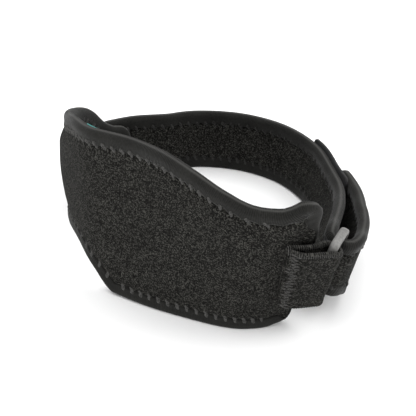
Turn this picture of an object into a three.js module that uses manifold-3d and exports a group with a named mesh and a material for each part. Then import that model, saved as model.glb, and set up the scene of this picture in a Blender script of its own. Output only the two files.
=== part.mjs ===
// Elbow support: a wide bound neoprene pad, closed into a loop by a narrower strap.
// The strap starts on the outer face at the pad's far end, runs round the back, passes through
// a plastic ring at the pad's near end and folds back on itself, held by a hook tab.
// Millimetres, +Z up. It stands on its lower edges, and the pad's outer face looks along -Y.
// The origin is the centre of the whole support, at the level of the surface it stands on.

import * as THREE from "three";
import { mergeVertices } from "three/addons/utils/BufferGeometryUtils.js";
import Module from "manifold-3d";

const wasm = await Module();
wasm.setup();

// Closed loop, measured along the foot of its wall
const LOOP_WIDTH = 107;
const LOOP_DEPTH = 119;

// Neoprene pad
const PAD_LENGTH = 172;
const PAD_HEIGHT = 74;
const PAD_THICKNESS = 4;
const PAD_CORNER = 6;

// Neoprene strap, with the tail that is folded back
const STRAP_HEIGHT = 29;
const STRAP_THICKNESS = 3.4;
const STRAP_CORNER = 8;
const STRAP_GATHERED = 28;
const STRAP_GATHER = 10;
const STRAP_OVERLAP = 16;
const STRAP_EASE = 22;
const TAIL_LENGTH = 60;
const TAIL_BULGE = 1;

// Edging tape folded over every cut edge, which it squeezes thin
const TAPE_WIDTH = 5.5;
const TAPE_THICKNESS = 0.7;
const TAPE_GAP = 0.45;
const EDGE_THICKNESS = 2.1;
const EDGE_CLEAR = 1;
const EDGE_EASE = 1.8;

// Plastic ring: its long bars, and how high its ends are
const RING_BAR = 3.4;
const RING_END = 2.2;
const RING_CORNER = 3;
const RING_PLAY = 0.5;
const RING_TURN = THREE.MathUtils.degToRad(18);

// Folded strip that keeps the ring on the pad. Free is the share of the way from its seam to
// the ring's bar that its layers run along the wall.
const KEEPER_HEIGHT = 31;
const KEEPER_GATHERED = 27.4;
const KEEPER_RISE = 2.6;
const KEEPER_FREE = 0.6;
const KEEPER_THICKNESS = 1.6;
const KEEPER_CORNER = 1;
const KEEPER_SEAM = 6.5;
const KEEPER_REACH = 1.5;
const KEEPER_LIFT = 16.5;

// Hook tab
const TAB_LENGTH = 37;
const TAB_HEIGHT = 28;
const TAB_RISE = 1.2;
const TAB_THICKNESS = 1.1;
const TAB_CORNER = 2;
const TAB_OVERLAP = 16;

// Label sewn to the pad's inner face, at a share of the pad's length
const LABEL_PLACE = 0.46;
const LABEL_WIDTH = 12;
const LABEL_HEIGHT = 14;
const LABEL_THICKNESS = 0.8;
const LABEL_DROP = 1.5;

// Gap between pieces that touch, and how far the lower edges are pressed flat
const GAP = 0.3;
const PRESSED = 0.3;

// Longest step between sections, and the most that a wall or an edge turns in one step
const SECTION_STEP = 4.5;
const SECTION_TURN = THREE.MathUtils.degToRad(10);

// Step between the key points of a course, steps round a bar of the ring, steps of a round
// corner, and steps in which the foot line's length is measured between two of its points
const KEY_STEP = 4;
const BAR_STEPS = 8;
const CORNER_STEPS = 4;
const ARC_STEPS = 60;

// Distance over which an edge's slope is taken
const SLOPE_STEP = 1;

// Foot of the loop seen from above, as shares of its width and depth from its centre.
// It starts at the pad's far end and runs along the pad, past the ring and round the back.
// Lean is how far the wall tips outwards at its top, in degrees. Lift is how high the strap's
// lower edge is above the surface, as a share of the strap's height.
const LOOP_POINTS = [
  { x: -0.275, y: 0.4, lean: 0, lift: 0.03 },
  { x: -0.35, y: 0.36, lean: 0, lift: 0.05 },
  { x: -0.425, y: 0.295, lean: -1, lift: 0.06 },
  { x: -0.482, y: 0.195, lean: -2, lift: 0.06 },
  { x: -0.488, y: 0.055, lean: -2, lift: 0.06 },
  { x: -0.442, y: -0.115, lean: -1, lift: 0.06 },
  { x: -0.35, y: -0.28, lean: 0, lift: 0.06 },
  { x: -0.24, y: -0.35, lean: 0, lift: 0.06 },
  { x: -0.04, y: -0.44, lean: 4, lift: 0.1 },
  { x: 0.165, y: -0.5, lean: 10, lift: 0.4 },
  { x: 0.308, y: -0.47, lean: 17, lift: 0.55 },
  { x: 0.404, y: -0.387, lean: 15, lift: 0.55 },
  { x: 0.456, y: -0.25, lean: 12, lift: 0.34 },
  { x: 0.493, y: -0.08, lean: 10, lift: 0.14 },
  { x: 0.488, y: 0.07, lean: 8, lift: 0.05 },
  { x: 0.457, y: 0.228, lean: 6, lift: 0.02 },
  { x: 0.36, y: 0.374, lean: 4, lift: 0 },
  { x: 0.19, y: 0.472, lean: 2, lift: 0 },
  { x: -0.01, y: 0.5, lean: 0, lift: 0 },
  { x: -0.13, y: 0.465, lean: 0, lift: 0.01 },
];

// Edges of the pad, as shares of its length and height
const PAD_OUTLINE = [
  { along: 0, top: 0.34, bottom: 0 },
  { along: 0.06, top: 0.43, bottom: 0 },
  { along: 0.12, top: 0.59, bottom: 0.02 },
  { along: 0.2, top: 0.69, bottom: 0.05 },
  { along: 0.32, top: 0.81, bottom: 0.12 },
  { along: 0.43, top: 0.92, bottom: 0.17 },
  { along: 0.5, top: 0.96, bottom: 0.12 },
  { along: 0.56, top: 0.98, bottom: 0.01 },
  { along: 0.68, top: 0.99, bottom: 0 },
  { along: 0.77, top: 0.95, bottom: 0 },
  { along: 0.84, top: 0.89, bottom: 0 },
  { along: 0.89, top: 0.845, bottom: 0 },
  { along: 0.93, top: 0.86, bottom: 0 },
  { along: 0.965, top: 0.93, bottom: 0.02 },
  { along: 1, top: 0.98, bottom: 0.08 },
];

// Sizes that follow from the ones above
const TAPE_RIM = TAPE_GAP + TAPE_THICKNESS;
const TAPE_HALF = EDGE_THICKNESS / 2 + TAPE_RIM;
const PAD_HALF = Math.max(PAD_THICKNESS / 2, TAPE_HALF);
const STRAP_HALF = Math.max(STRAP_THICKNESS / 2, TAPE_HALF);
const BAR_REACH = Math.hypot(RING_BAR / 2, RING_BAR / 4);
const STRAP_FOLD = BAR_REACH + GAP + STRAP_HALF;
const KEEPER_FOLD = BAR_REACH + GAP + KEEPER_THICKNESS / 2;
const RING_SLOT = 2 * STRAP_HALF + KEEPER_THICKNESS + 3 * GAP + RING_PLAY;
const RING_PITCH = RING_SLOT + RING_BAR;
const RING_HEIGHT = Math.max(STRAP_GATHERED, KEEPER_GATHERED) + 2 * (RING_PLAY + RING_END);
const KEEPER_BACK = PAD_HALF + 2 * GAP + KEEPER_THICKNESS / 2;
const KEEPER_FRONT = KEEPER_BACK + KEEPER_THICKNESS + GAP;
// The ring stands turned a little from the wall, so that its keeper's bar clears the pad
const BAR_SHIFT = (RING_PITCH / 2) * Math.sin(RING_TURN);
const KEEPER_BAR_OUT = KEEPER_BACK + KEEPER_FOLD + 2 * GAP;
const RING_OUT = KEEPER_BAR_OUT - BAR_SHIFT;
const STRAP_BAR_OUT = RING_OUT - BAR_SHIFT;
const STRAP_SEAT = PAD_HALF + GAP + STRAP_HALF;
const TAB_SEAT = STRAP_HALF + GAP + TAB_THICKNESS / 2;
const TAIL_SEAT = 2 * TAB_SEAT;

// Curves and tables

const between = THREE.MathUtils.lerp;
const rise = THREE.MathUtils.smoothstep;

// A smooth function through the rows of a table, which never swings past them
function smoothColumn(rows, key, column) {
  const slopes = rows
    .slice(1)
    .map((row, i) => (row[column] - rows[i][column]) / (row[key] - rows[i][key]));
  const tangents = rows.map((_, i) => {
    if (i === 0) return slopes[0];
    if (i === rows.length - 1) return slopes[i - 1];
    const [before, after] = [slopes[i - 1], slopes[i]];
    return before * after <= 0 ? 0 : (2 * before * after) / (before + after);
  });
  return (t) => {
    const found = rows.findIndex((row, i) => i > 0 && row[key] >= t);
    const i = found < 0 ? rows.length - 1 : found;
    const span = rows[i][key] - rows[i - 1][key];
    const u = THREE.MathUtils.clamp((t - rows[i - 1][key]) / span, 0, 1);
    return (
      (1 + 2 * u) * (1 - u) ** 2 * rows[i - 1][column] +
      u * (1 - u) ** 2 * span * tangents[i - 1] +
      u * u * (3 - 2 * u) * rows[i][column] +
      u * u * (u - 1) * span * tangents[i]
    );
  };
}

const footLine = new THREE.CatmullRomCurve3(
  LOOP_POINTS.map(({ x, y }) => new THREE.Vector3(x * LOOP_WIDTH, y * LOOP_DEPTH, 0)),
  true,
);
footLine.arcLengthDivisions = ARC_STEPS * LOOP_POINTS.length;
const LOOP_LENGTH = footLine.getLength();

// The loop's rows with their distance along the foot line, also one turn before and after
const loopRows = [-1, 0, 1].flatMap((turn) =>
  LOOP_POINTS.map((row, i) => ({
    ...row,
    s: footLine.getLengths()[ARC_STEPS * i] + turn * LOOP_LENGTH,
  })),
);
const leanAt = smoothColumn(loopRows, "s", "lean");
const liftAt = smoothColumn(loopRows, "s", "lift");
const slope = (edge, d) => (edge(d + SLOPE_STEP / 2) - edge(d - SLOPE_STEP / 2)) / SLOPE_STEP;
const padTopAt = smoothColumn(PAD_OUTLINE, "along", "top");
const padBottomAt = smoothColumn(PAD_OUTLINE, "along", "bottom");

// Foot, upward and outward direction of the wall at a distance along the loop
function wallAt(s, out = 0) {
  const share = THREE.MathUtils.euclideanModulo(s / LOOP_LENGTH, 1);
  const tangent = footLine.getTangentAt(share);
  const outward = new THREE.Vector3(tangent.y, -tangent.x, 0);
  const lean = THREE.MathUtils.degToRad(leanAt(s));
  const rung = new THREE.Vector3(0, 0, Math.cos(lean)).addScaledVector(outward, Math.sin(lean));
  const normal = new THREE.Vector3(0, 0, -Math.sin(lean)).addScaledVector(outward, Math.cos(lean));
  const foot = footLine.getPointAt(share).addScaledVector(normal, out);
  return { foot, rung, normal, tangent };
}

// Feet and upward directions every few millimetres along the wall, at an offset that may change
function alongWall(from, to, outAt) {
  const steps = Math.max(1, Math.round(Math.abs(to - from) / KEY_STEP));
  return Array.from({ length: steps + 1 }, (_, i) => {
    const s = from + ((to - from) * i) / steps;
    return { ...wallAt(s, outAt(s)), s };
  });
}

// The line that a strip follows: a smooth run of foot points and upward directions
class Course {
  constructor(keys, height) {
    const feet = new THREE.CatmullRomCurve3(keys.map(({ foot }) => foot));
    const head = ({ foot, rung }) => foot.clone().addScaledVector(rung, height);
    const heads = new THREE.CatmullRomCurve3(keys.map(head));
    this.perKey = 4;
    const steps = this.perKey * (keys.length - 1);
    this.feet = feet.getPoints(steps);
    const tops = heads.getPoints(steps);
    this.rungs = tops.map((top, i) => top.clone().sub(this.feet[i]).normalize());
    const middle = this.feet.map((foot, i) => foot.clone().addScaledVector(this.rungs[i], height / 2));
    this.distances = [0];
    for (let i = 1; i <= steps; i++) {
      this.distances.push(this.distances[i - 1] + middle[i].distanceTo(middle[i - 1]));
    }
    this.length = this.distances[steps];
    this.sides = middle.map((_, i) => {
      const ahead = middle[Math.min(i + 1, steps)].clone().sub(middle[Math.max(i - 1, 0)]);
      return ahead.cross(this.rungs[i]).normalize();
    });
  }

  keyDistance(i) {
    return this.distances[this.perKey * i];
  }

  // The point at a distance along the course, a height up it and an offset to its side
  place(distance, height, offset) {
    const { distances, feet, rungs, sides } = this;
    const found = distances.findIndex((d, j) => j > 0 && d >= distance);
    const i = found < 0 ? distances.length - 1 : found;
    const u = (distance - distances[i - 1]) / (distances[i] - distances[i - 1]);
    const foot = feet[i - 1].clone().lerp(feet[i], u);
    const rung = rungs[i - 1].clone().lerp(rungs[i], u).normalize();
    const side = sides[i - 1].clone().lerp(sides[i], u).normalize();
    return foot.addScaledVector(rung, height).addScaledVector(side, offset);
  }

  // Distances of the sections between two places, closer together where the course turns or
  // where one of the given edges does
  stations(from, to, edges) {
    const found = [];
    const heading = (edge, d) => Math.atan(slope(edge, d));
    const turned = edges.map(() => 0);
    let [last, wound] = [from, 0];
    for (let i = 1; i < this.distances.length; i++) {
      const [before, d] = [this.distances[i - 1], this.distances[i]];
      if (d <= from || d >= to) continue;
      wound += this.sides[i].angleTo(this.sides[i - 1]);
      edges.forEach((edge, j) => (turned[j] += Math.abs(heading(edge, d) - heading(edge, before))));
      if (d - last > SECTION_STEP || Math.max(wound, ...turned) > SECTION_TURN) {
        found.push(d);
        [last, wound] = [d, 0];
        turned.fill(0);
      }
    }
    return found;
  }
}

// Solids

// A mesh over rings of points, closed by a cap at each end or by joining the last to the first
function skin(rings, capped) {
  const count = rings[0].length;
  const index = [];
  const quad = (a, b, c, d) => index.push(a, b, c, a, c, d);
  rings.forEach((_, i) => {
    if (capped && i === rings.length - 1) return;
    const [a, b] = [i * count, ((i + 1) % rings.length) * count];
    for (let j = 0; j < count; j++) quad(a + j, b + j, b + ((j + 1) % count), a + ((j + 1) % count));
  });
  if (capped) {
    const end = (rings.length - 1) * count;
    for (let j = 0; j < count / 2 - 1; j++) {
      const k = count - 1 - j;
      quad(j, j + 1, k - 1, k);
      quad(end + j, end + k, end + k - 1, end + j + 1);
    }
  }
  const geometry = new THREE.BufferGeometry();
  const positions = rings.flat().flatMap(({ x, y, z }) => [x, y, z]);
  geometry.setAttribute("position", new THREE.Float32BufferAttribute(positions, 3));
  return geometry.setIndex(index);
}

function toSolid(geometry) {
  const plain = geometry.clone();
  ["normal", "uv"].forEach((name) => plain.deleteAttribute(name));
  const merged = mergeVertices(plain, 1e-4);
  const vertProperties = new Float32Array(merged.getAttribute("position").array);
  const triVerts = new Uint32Array(merged.getIndex().array);
  const solid = new wasm.Manifold(new wasm.Mesh({ numProp: 3, vertProperties, triVerts }));
  if (solid.volume() > 0) return solid;
  return new wasm.Manifold(new wasm.Mesh({ numProp: 3, vertProperties, triVerts: triVerts.reverse() }));
}

function toGeometry(solid) {
  const { vertProperties, triVerts } = solid.getMesh();
  const geometry = new THREE.BufferGeometry();
  geometry.setAttribute("position", new THREE.BufferAttribute(vertProperties, 3));
  return geometry.setIndex(new THREE.BufferAttribute(triVerts, 1));
}

// How far a round corner cuts into a strip's height, at a distance in from the strip's end
function cornerCut(corner, fromEnd) {
  return fromEnd >= corner ? 0 : corner - Math.sqrt(corner ** 2 - (corner - fromEnd) ** 2);
}

// A flat strip with round corners on a course. Top and bottom give its edges at a distance,
// and an inset makes the strip smaller all round.
class Strip {
  constructor(course, { top, bottom, corner, inset = 0 }) {
    this.course = course;
    this.from = inset;
    this.to = course.length - inset;
    this.inset = inset;
    this.corner = corner - inset;
    const within = (d) => THREE.MathUtils.clamp(d, corner, course.length - corner);
    const stretch = (edge, d) => Math.hypot(1, slope((x) => edge(within(x)), d));
    this.topStretch = (d) => stretch(top, d);
    this.bottomStretch = (d) => stretch(bottom, d);
    this.top = (d) => top(within(d)) - inset * this.topStretch(d);
    this.bottom = (d) => bottom(within(d)) + inset * this.bottomStretch(d);
    this.middle = course.stations(this.from + this.corner, this.to - this.corner, [top, bottom]);
  }

  fromEnd(d) {
    return Math.min(d - this.from, this.to - d);
  }

  topEdge(d) {
    return this.top(d) - cornerCut(this.corner, this.fromEnd(d));
  }

  bottomEdge(d) {
    return this.bottom(d) + cornerCut(this.corner, this.fromEnd(d));
  }

  // How far a point is from the strip's outline
  depth(d, h) {
    this.edges ??= outline(this).map(({ d: x, h: y }, i, all) => {
      const next = all[(i + 1) % all.length];
      return new THREE.Line3(new THREE.Vector3(x, y), new THREE.Vector3(next.d, next.h));
    });
    const point = new THREE.Vector3(d, h);
    const nearest = new THREE.Vector3();
    return Math.min(
      ...this.edges.map((edge) => edge.closestPointToPoint(point, true, nearest).distanceTo(point)),
    );
  }

  // Distances of the sections, closer together where they follow a corner
  columns(extra) {
    const arcs = Array.from({ length: CORNER_STEPS + 3 }, (_, i) => {
      return this.corner * (1 - Math.cos((i * Math.PI) / 2 / (CORNER_STEPS + 2)));
    });
    const ends = [...arcs, ...extra.filter((e) => e < this.corner)].sort((a, b) => a - b);
    return [
      ...ends.map((e) => this.from + e),
      ...this.middle,
      ...ends.reverse().map((e) => this.to - e),
    ];
  }
}

// The neoprene inside its edging: thick in the field, squeezed thin under the tape
function panel(strip, thickness) {
  const { course } = strip;
  const squeezed = TAPE_WIDTH + EDGE_CLEAR - strip.inset;
  const full = squeezed + EDGE_EASE;
  const half = (d, h) => between(EDGE_THICKNESS, thickness, rise(strip.depth(d, h), squeezed, full)) / 2;
  const rings = strip.columns([squeezed, full]).map((d) => {
    const [low, high] = [strip.bottomEdge(d), strip.topEdge(d)];
    const share = Math.min(1, (high - low) / 2 / (full + 1));
    const rows = [0, squeezed, full].map((row) => share * row);
    const heights = [
      ...rows.map((row) => low + row * strip.bottomStretch(d)),
      ...rows.map((row) => high - row * strip.topStretch(d)).reverse(),
    ];
    return [
      ...heights.map((h) => course.place(d, h, half(d, h))),
      ...heights.reverse().map((h) => course.place(d, h, -half(d, h))),
    ];
  });
  return toSolid(skin(rings, true));
}

// Edging tape: a U-shaped section that runs once round a strip's outline
function edging(strip) {
  const { course } = strip;
  const inner = EDGE_THICKNESS / 2 + TAPE_GAP;
  const outer = TAPE_HALF;
  const section = [
    [TAPE_WIDTH, outer],
    [outer / 2, outer],
    [0, outer / 2],
    [0, -outer / 2],
    [outer / 2, -outer],
    [TAPE_WIDTH, -outer],
    [TAPE_WIDTH, -inner],
    [TAPE_THICKNESS, -inner],
    [TAPE_THICKNESS, inner],
    [TAPE_WIDTH, inner],
  ];
  const rings = outline(strip).map(({ d, h, inward }) =>
    section.map(([inset, offset]) => course.place(d + inward.x * inset, h + inward.y * inset, offset)),
  );
  return toSolid(skin(rings, false));
}

// A strip's outline as distances and heights, each with the direction that leads inwards
function outline(strip) {
  const { from, to, corner } = strip;
  const edge = (distances, heightAt, sense) =>
    distances.map((d) => {
      const inward = new THREE.Vector2(-sense * slope(heightAt, d), sense).normalize();
      return { d, h: heightAt(d), inward };
    });
  const arc = (d, h, start) =>
    Array.from({ length: CORNER_STEPS + 1 }, (_, i) => {
      const angle = start + (i * Math.PI) / 2 / CORNER_STEPS;
      const inward = new THREE.Vector2(-Math.cos(angle), -Math.sin(angle));
      return { d: d - corner * inward.x, h: h - corner * inward.y, inward };
    });
  return [
    ...edge(strip.middle, strip.bottom, 1),
    ...arc(to - corner, strip.bottom(to) + corner, -Math.PI / 2),
    ...arc(to - corner, strip.top(to) - corner, 0),
    ...edge([...strip.middle].reverse(), strip.top, -1),
    ...arc(from + corner, strip.top(from) - corner, Math.PI / 2),
    ...arc(from + corner, strip.bottom(from) + corner, Math.PI),
  ];
}

// A plain thin strip of constant thickness on a course
function plainStrip(strip, thickness) {
  const rings = strip.columns([]).map((d) => {
    const [low, high] = [strip.bottomEdge(d), strip.topEdge(d)];
    return [
      strip.course.place(d, low, thickness / 2),
      strip.course.place(d, high, thickness / 2),
      strip.course.place(d, high, -thickness / 2),
      strip.course.place(d, low, -thickness / 2),
    ];
  });
  return toSolid(skin(rings, true));
}

// The courses

// Places along the loop, measured from the pad's far end
const S_SEAM = PAD_LENGTH - KEEPER_SEAM;
const S_RING = PAD_LENGTH + KEEPER_REACH + RING_PITCH / 2;
const S_KEEPER_BAR = S_RING - (RING_PITCH / 2) * Math.cos(RING_TURN);
const S_STRAP_BAR = S_RING + RING_PITCH / 2;
const S_BEND = S_STRAP_BAR + 3 * STRAP_FOLD;
const S_TAIL_END = S_STRAP_BAR + TAIL_LENGTH;
const S_STRAP_START = LOOP_LENGTH + STRAP_OVERLAP;

const ringFrame = wallAt(S_RING, RING_OUT);
const ringNormal = ringFrame.normal.clone().applyAxisAngle(ringFrame.rung, RING_TURN);
const ringAhead = ringFrame.rung.clone().cross(ringNormal).normalize();
const ringMiddle = KEEPER_LIFT + KEEPER_HEIGHT / 2;

// A turn round a bar of the ring, from its inner to its outer side. Way is 1 for the strap's
// bar, which lies ahead, and -1 for the keeper's bar.
function roundBar(radius, way, from = 0, to = Math.PI) {
  const centre = ringFrame.foot.clone().addScaledVector(ringAhead, (way * RING_PITCH) / 2);
  return Array.from({ length: BAR_STEPS + 1 }, (_, i) => {
    const angle = between(from, to, i / BAR_STEPS);
    const foot = centre
      .clone()
      .addScaledVector(ringNormal, -radius * Math.cos(angle))
      .addScaledVector(ringAhead, -way * radius * Math.sin(angle));
    return { foot, rung: ringFrame.rung, s: S_RING };
  });
}

const padCourse = new Course(alongWall(0, PAD_LENGTH, () => 0), PAD_HEIGHT);

// The strap lies on the pad at first, comes down to the line of the loop and ends inside the ring
const strapOut = (s) => {
  const seated = STRAP_SEAT * rise(s, LOOP_LENGTH - STRAP_EASE, LOOP_LENGTH);
  const atRing = STRAP_BAR_OUT - STRAP_FOLD;
  return seated + atRing * (1 - rise(s, S_RING, S_RING + 2 * STRAP_EASE));
};

// The tail leaves the ring, bulges and comes to rest on the strap
const tailOut = (s) => {
  const share = (s - S_STRAP_BAR) / TAIL_LENGTH;
  const line = between(STRAP_BAR_OUT + STRAP_FOLD, TAIL_SEAT, rise(share, 0, 1));
  return line + TAIL_BULGE * Math.sin(Math.PI * THREE.MathUtils.clamp(share, 0, 1)) ** 2;
};

const foldKeys = roundBar(STRAP_FOLD, 1);
const strapKeys = [
  ...alongWall(S_STRAP_START, S_BEND, strapOut),
  ...foldKeys,
  ...alongWall(S_BEND, S_TAIL_END, tailOut),
];
const strapCourse = new Course(strapKeys, STRAP_HEIGHT);

// How near a place on the strap is to the middle of its fold in the ring, from 0 to 1
const foldDistance = strapCourse.keyDistance(strapKeys.indexOf(foldKeys[BAR_STEPS / 2]));
const nearRing = (d) => Math.exp(-(((d - foldDistance) / STRAP_GATHER) ** 2));

// The strap's middle line, lifted as the loop's table says and centred on the ring's slot
const keyLifts = strapKeys.map(({ s }, i) => ({
  d: strapCourse.keyDistance(i),
  lift: liftAt(s) * STRAP_HEIGHT,
}));
const strapLift = smoothColumn(keyLifts, "d", "lift");
const strapMiddle = (d) => {
  const plain = strapLift(d) + STRAP_HEIGHT / 2 - PRESSED;
  return between(plain, ringMiddle, nearRing(d));
};
const strapHalf = (d) => between(STRAP_HEIGHT, STRAP_GATHERED, nearRing(d)) / 2;

const padStrip = (inset) =>
  new Strip(padCourse, {
    top: (d) => padTopAt(d / padCourse.length) * PAD_HEIGHT,
    bottom: (d) => padBottomAt(d / padCourse.length) * PAD_HEIGHT - PRESSED,
    corner: PAD_CORNER,
    inset,
  });
const strapStrip = (inset) =>
  new Strip(strapCourse, {
    top: (d) => strapMiddle(d) + strapHalf(d),
    bottom: (d) => strapMiddle(d) - strapHalf(d),
    corner: STRAP_CORNER,
    inset,
  });

// The ring: a rounded frame with the slot that both strips share
function ring() {
  const frame = (width, height, corner) => {
    const shape = new THREE.Shape();
    const [x, y] = [width / 2, height / 2];
    shape.moveTo(-x + corner, -y);
    shape.lineTo(x - corner, -y).absarc(x - corner, -y + corner, corner, -Math.PI / 2, 0);
    shape.lineTo(x, y - corner).absarc(x - corner, y - corner, corner, 0, Math.PI / 2);
    shape.lineTo(-x + corner, y).absarc(-x + corner, y - corner, corner, Math.PI / 2, Math.PI);
    shape.lineTo(-x, -y + corner).absarc(-x + corner, -y + corner, corner, Math.PI, 1.5 * Math.PI);
    return shape;
  };
  const shape = frame(RING_PITCH + RING_BAR, RING_HEIGHT, RING_CORNER);
  const slot = frame(RING_SLOT, RING_HEIGHT - 2 * RING_END, RING_CORNER - RING_END);
  shape.holes.push(new THREE.Path(slot.getPoints(3)));
  const bevel = RING_BAR / 4;
  const geometry = new THREE.ExtrudeGeometry(shape, {
    depth: RING_BAR - 2 * bevel,
    bevelThickness: bevel,
    bevelSize: bevel,
    bevelOffset: -bevel,
    bevelSegments: 1,
    curveSegments: 3,
  });
  geometry.translate(0, 0, bevel - RING_BAR / 2);
  const centre = ringFrame.foot.clone().addScaledVector(ringFrame.rung, ringMiddle);
  const turn = new THREE.Matrix4().makeBasis(ringAhead, ringFrame.rung, ringNormal);
  geometry.applyMatrix4(turn.setPosition(centre));
  return toSolid(geometry);
}

// The keeper: from the seam on the pad, round the ring's bar and straight back to the seam
function keeper() {
  const [run, up] = [S_KEEPER_BAR - S_SEAM, KEEPER_BAR_OUT - KEEPER_FRONT];
  const climb = Math.atan2(up, run) + Math.asin(KEEPER_FOLD / Math.hypot(up, run));
  const back = (s) => between(KEEPER_BACK, KEEPER_BAR_OUT - KEEPER_FOLD, (s - S_SEAM) / run);
  const front = (s) => KEEPER_FRONT + (s - S_SEAM) * Math.tan(climb);
  const keys = [
    ...alongWall(S_SEAM, between(S_SEAM, S_KEEPER_BAR, KEEPER_FREE), back),
    ...roundBar(KEEPER_FOLD, -1, RING_TURN, Math.PI + RING_TURN + climb),
    ...alongWall(between(S_KEEPER_BAR, S_SEAM, KEEPER_FREE), S_SEAM, front),
  ];
  const course = new Course(keys, KEEPER_HEIGHT);
  // From 0 at the seam to 1 at the ring
  const near = (d) => Math.sin((Math.PI * d) / course.length);
  const middle = (d) => between(ringMiddle + KEEPER_RISE, ringMiddle, near(d));
  const half = (d) => between(KEEPER_HEIGHT, KEEPER_GATHERED, near(d)) / 2;
  const strip = new Strip(course, {
    top: (d) => middle(d) + half(d),
    bottom: (d) => middle(d) - half(d),
    corner: KEEPER_CORNER,
  });
  return plainStrip(strip, KEEPER_THICKNESS);
}

// The tab: sewn under the tail's end, it lies on the strap's outer face
function hookTab() {
  const sewn = S_TAIL_END - TAB_OVERLAP;
  const out = (s) => tailOut(Math.min(s, S_TAIL_END)) - TAB_SEAT;
  const course = new Course(alongWall(sewn, sewn + TAB_LENGTH, out), TAB_HEIGHT);
  const foot = (STRAP_HEIGHT - TAB_HEIGHT) / 2 + TAB_RISE - PRESSED;
  const low = (d) => liftAt(sewn + d) * STRAP_HEIGHT + foot;
  const strip = new Strip(course, { top: (d) => low(d) + TAB_HEIGHT, bottom: low, corner: TAB_CORNER });
  return plainStrip(strip, TAB_THICKNESS);
}

function label() {
  const from = LABEL_PLACE * padCourse.length;
  const inner = -(PAD_HALF + GAP + LABEL_THICKNESS / 2);
  const rings = [0, 0.5, 1].map((share) => {
    const d = from + share * LABEL_WIDTH;
    const high = padTopAt(d / padCourse.length) * PAD_HEIGHT - LABEL_DROP;
    return [
      padCourse.place(d, high - LABEL_HEIGHT, inner - LABEL_THICKNESS / 2),
      padCourse.place(d, high, inner - LABEL_THICKNESS / 2),
      padCourse.place(d, high, inner + LABEL_THICKNESS / 2),
      padCourse.place(d, high - LABEL_HEIGHT, inner + LABEL_THICKNESS / 2),
    ];
  });
  return toSolid(skin(rings, true));
}

// What lies below the surface is pressed flat
function pressed(solid) {
  const size = 4 * (LOOP_WIDTH + LOOP_DEPTH);
  const ground = new THREE.BoxGeometry(size, size, size).translate(0, 0, -size / 2);
  return solid.subtract(toSolid(ground));
}

const FINISHES = {
  pile: { color: 0x2c2a2b, roughness: 1, metalness: 0 },
  tape: { color: 0x353335, roughness: 0.85, metalness: 0 },
  ring: { color: 0x6d6c68, roughness: 0.45, metalness: 0 },
  hook: { color: 0x121212, roughness: 0.9, metalness: 0 },
  label: { color: 0x0f8f86, roughness: 0.5, metalness: 0 },
};

const PIECES = [
  ["pad_panel", panel(padStrip(TAPE_RIM), PAD_THICKNESS), "pile"],
  ["pad_edging", edging(padStrip(0)), "tape"],
  ["strap_panel", panel(strapStrip(TAPE_RIM), STRAP_THICKNESS), "pile"],
  ["strap_edging", edging(strapStrip(0)), "tape"],
  ["ring_keeper", keeper(), "pile"],
  ["ring", ring(), "ring"],
  ["hook_tab", hookTab(), "hook"],
  ["inner_label", label(), "label"],
];

const support = new THREE.Group();
for (const [name, solid, finish] of PIECES) {
  const material = new THREE.MeshStandardMaterial({ name: finish, ...FINISHES[finish] });
  const mesh = new THREE.Mesh(toGeometry(pressed(solid)), material);
  mesh.name = name;
  support.add(mesh);
}
const centre = new THREE.Box3().setFromObject(support).getCenter(new THREE.Vector3());
support.position.set(-centre.x, -centre.y, 0);

export default support;
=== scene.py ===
"""Elbow support: the pad, strap, tape, threads, ring and stage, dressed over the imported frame.

The soft pieces are made flat, as a maker cuts them, and then wrapped round the loop that the
solids follow. Lengths are millimetres until a mesh is written, where they become metres.
"""

from __future__ import annotations

import logging
import math
from collections.abc import Callable, Sequence
from dataclasses import dataclass, field
from enum import Enum
from functools import cached_property
from typing import NamedTuple

import bmesh
import bpy
import numpy as np
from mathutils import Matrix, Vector

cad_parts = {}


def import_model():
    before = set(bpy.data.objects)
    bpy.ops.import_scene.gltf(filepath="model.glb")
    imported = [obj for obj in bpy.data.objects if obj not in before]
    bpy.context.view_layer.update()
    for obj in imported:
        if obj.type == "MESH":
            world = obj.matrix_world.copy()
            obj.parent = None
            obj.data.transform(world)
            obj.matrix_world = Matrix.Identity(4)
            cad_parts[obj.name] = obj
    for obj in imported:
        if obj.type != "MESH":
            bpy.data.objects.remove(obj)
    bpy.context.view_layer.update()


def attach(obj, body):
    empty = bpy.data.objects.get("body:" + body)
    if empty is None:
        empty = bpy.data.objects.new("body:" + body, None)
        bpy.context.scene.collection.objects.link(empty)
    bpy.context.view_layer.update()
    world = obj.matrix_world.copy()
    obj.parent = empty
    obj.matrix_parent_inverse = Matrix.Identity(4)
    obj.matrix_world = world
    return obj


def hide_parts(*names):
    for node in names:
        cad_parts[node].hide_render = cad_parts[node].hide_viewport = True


LOG = logging.getLogger("elbow_support")
MM = 0.001
UV_PER_MM = 0.1
Height = Callable[[np.ndarray], np.ndarray]
Field = Callable[[np.ndarray, np.ndarray], np.ndarray]


class LoopRow(NamedTuple):
    """A point of the loop's foot: shares of its width and depth, lean in degrees, lift as a share."""

    x: float
    y: float
    lean: float
    lift: float


class OutlineRow(NamedTuple):
    """The pad's edges at a place along it, as shares of its length and height."""

    along: float
    top: float
    bottom: float


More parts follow.
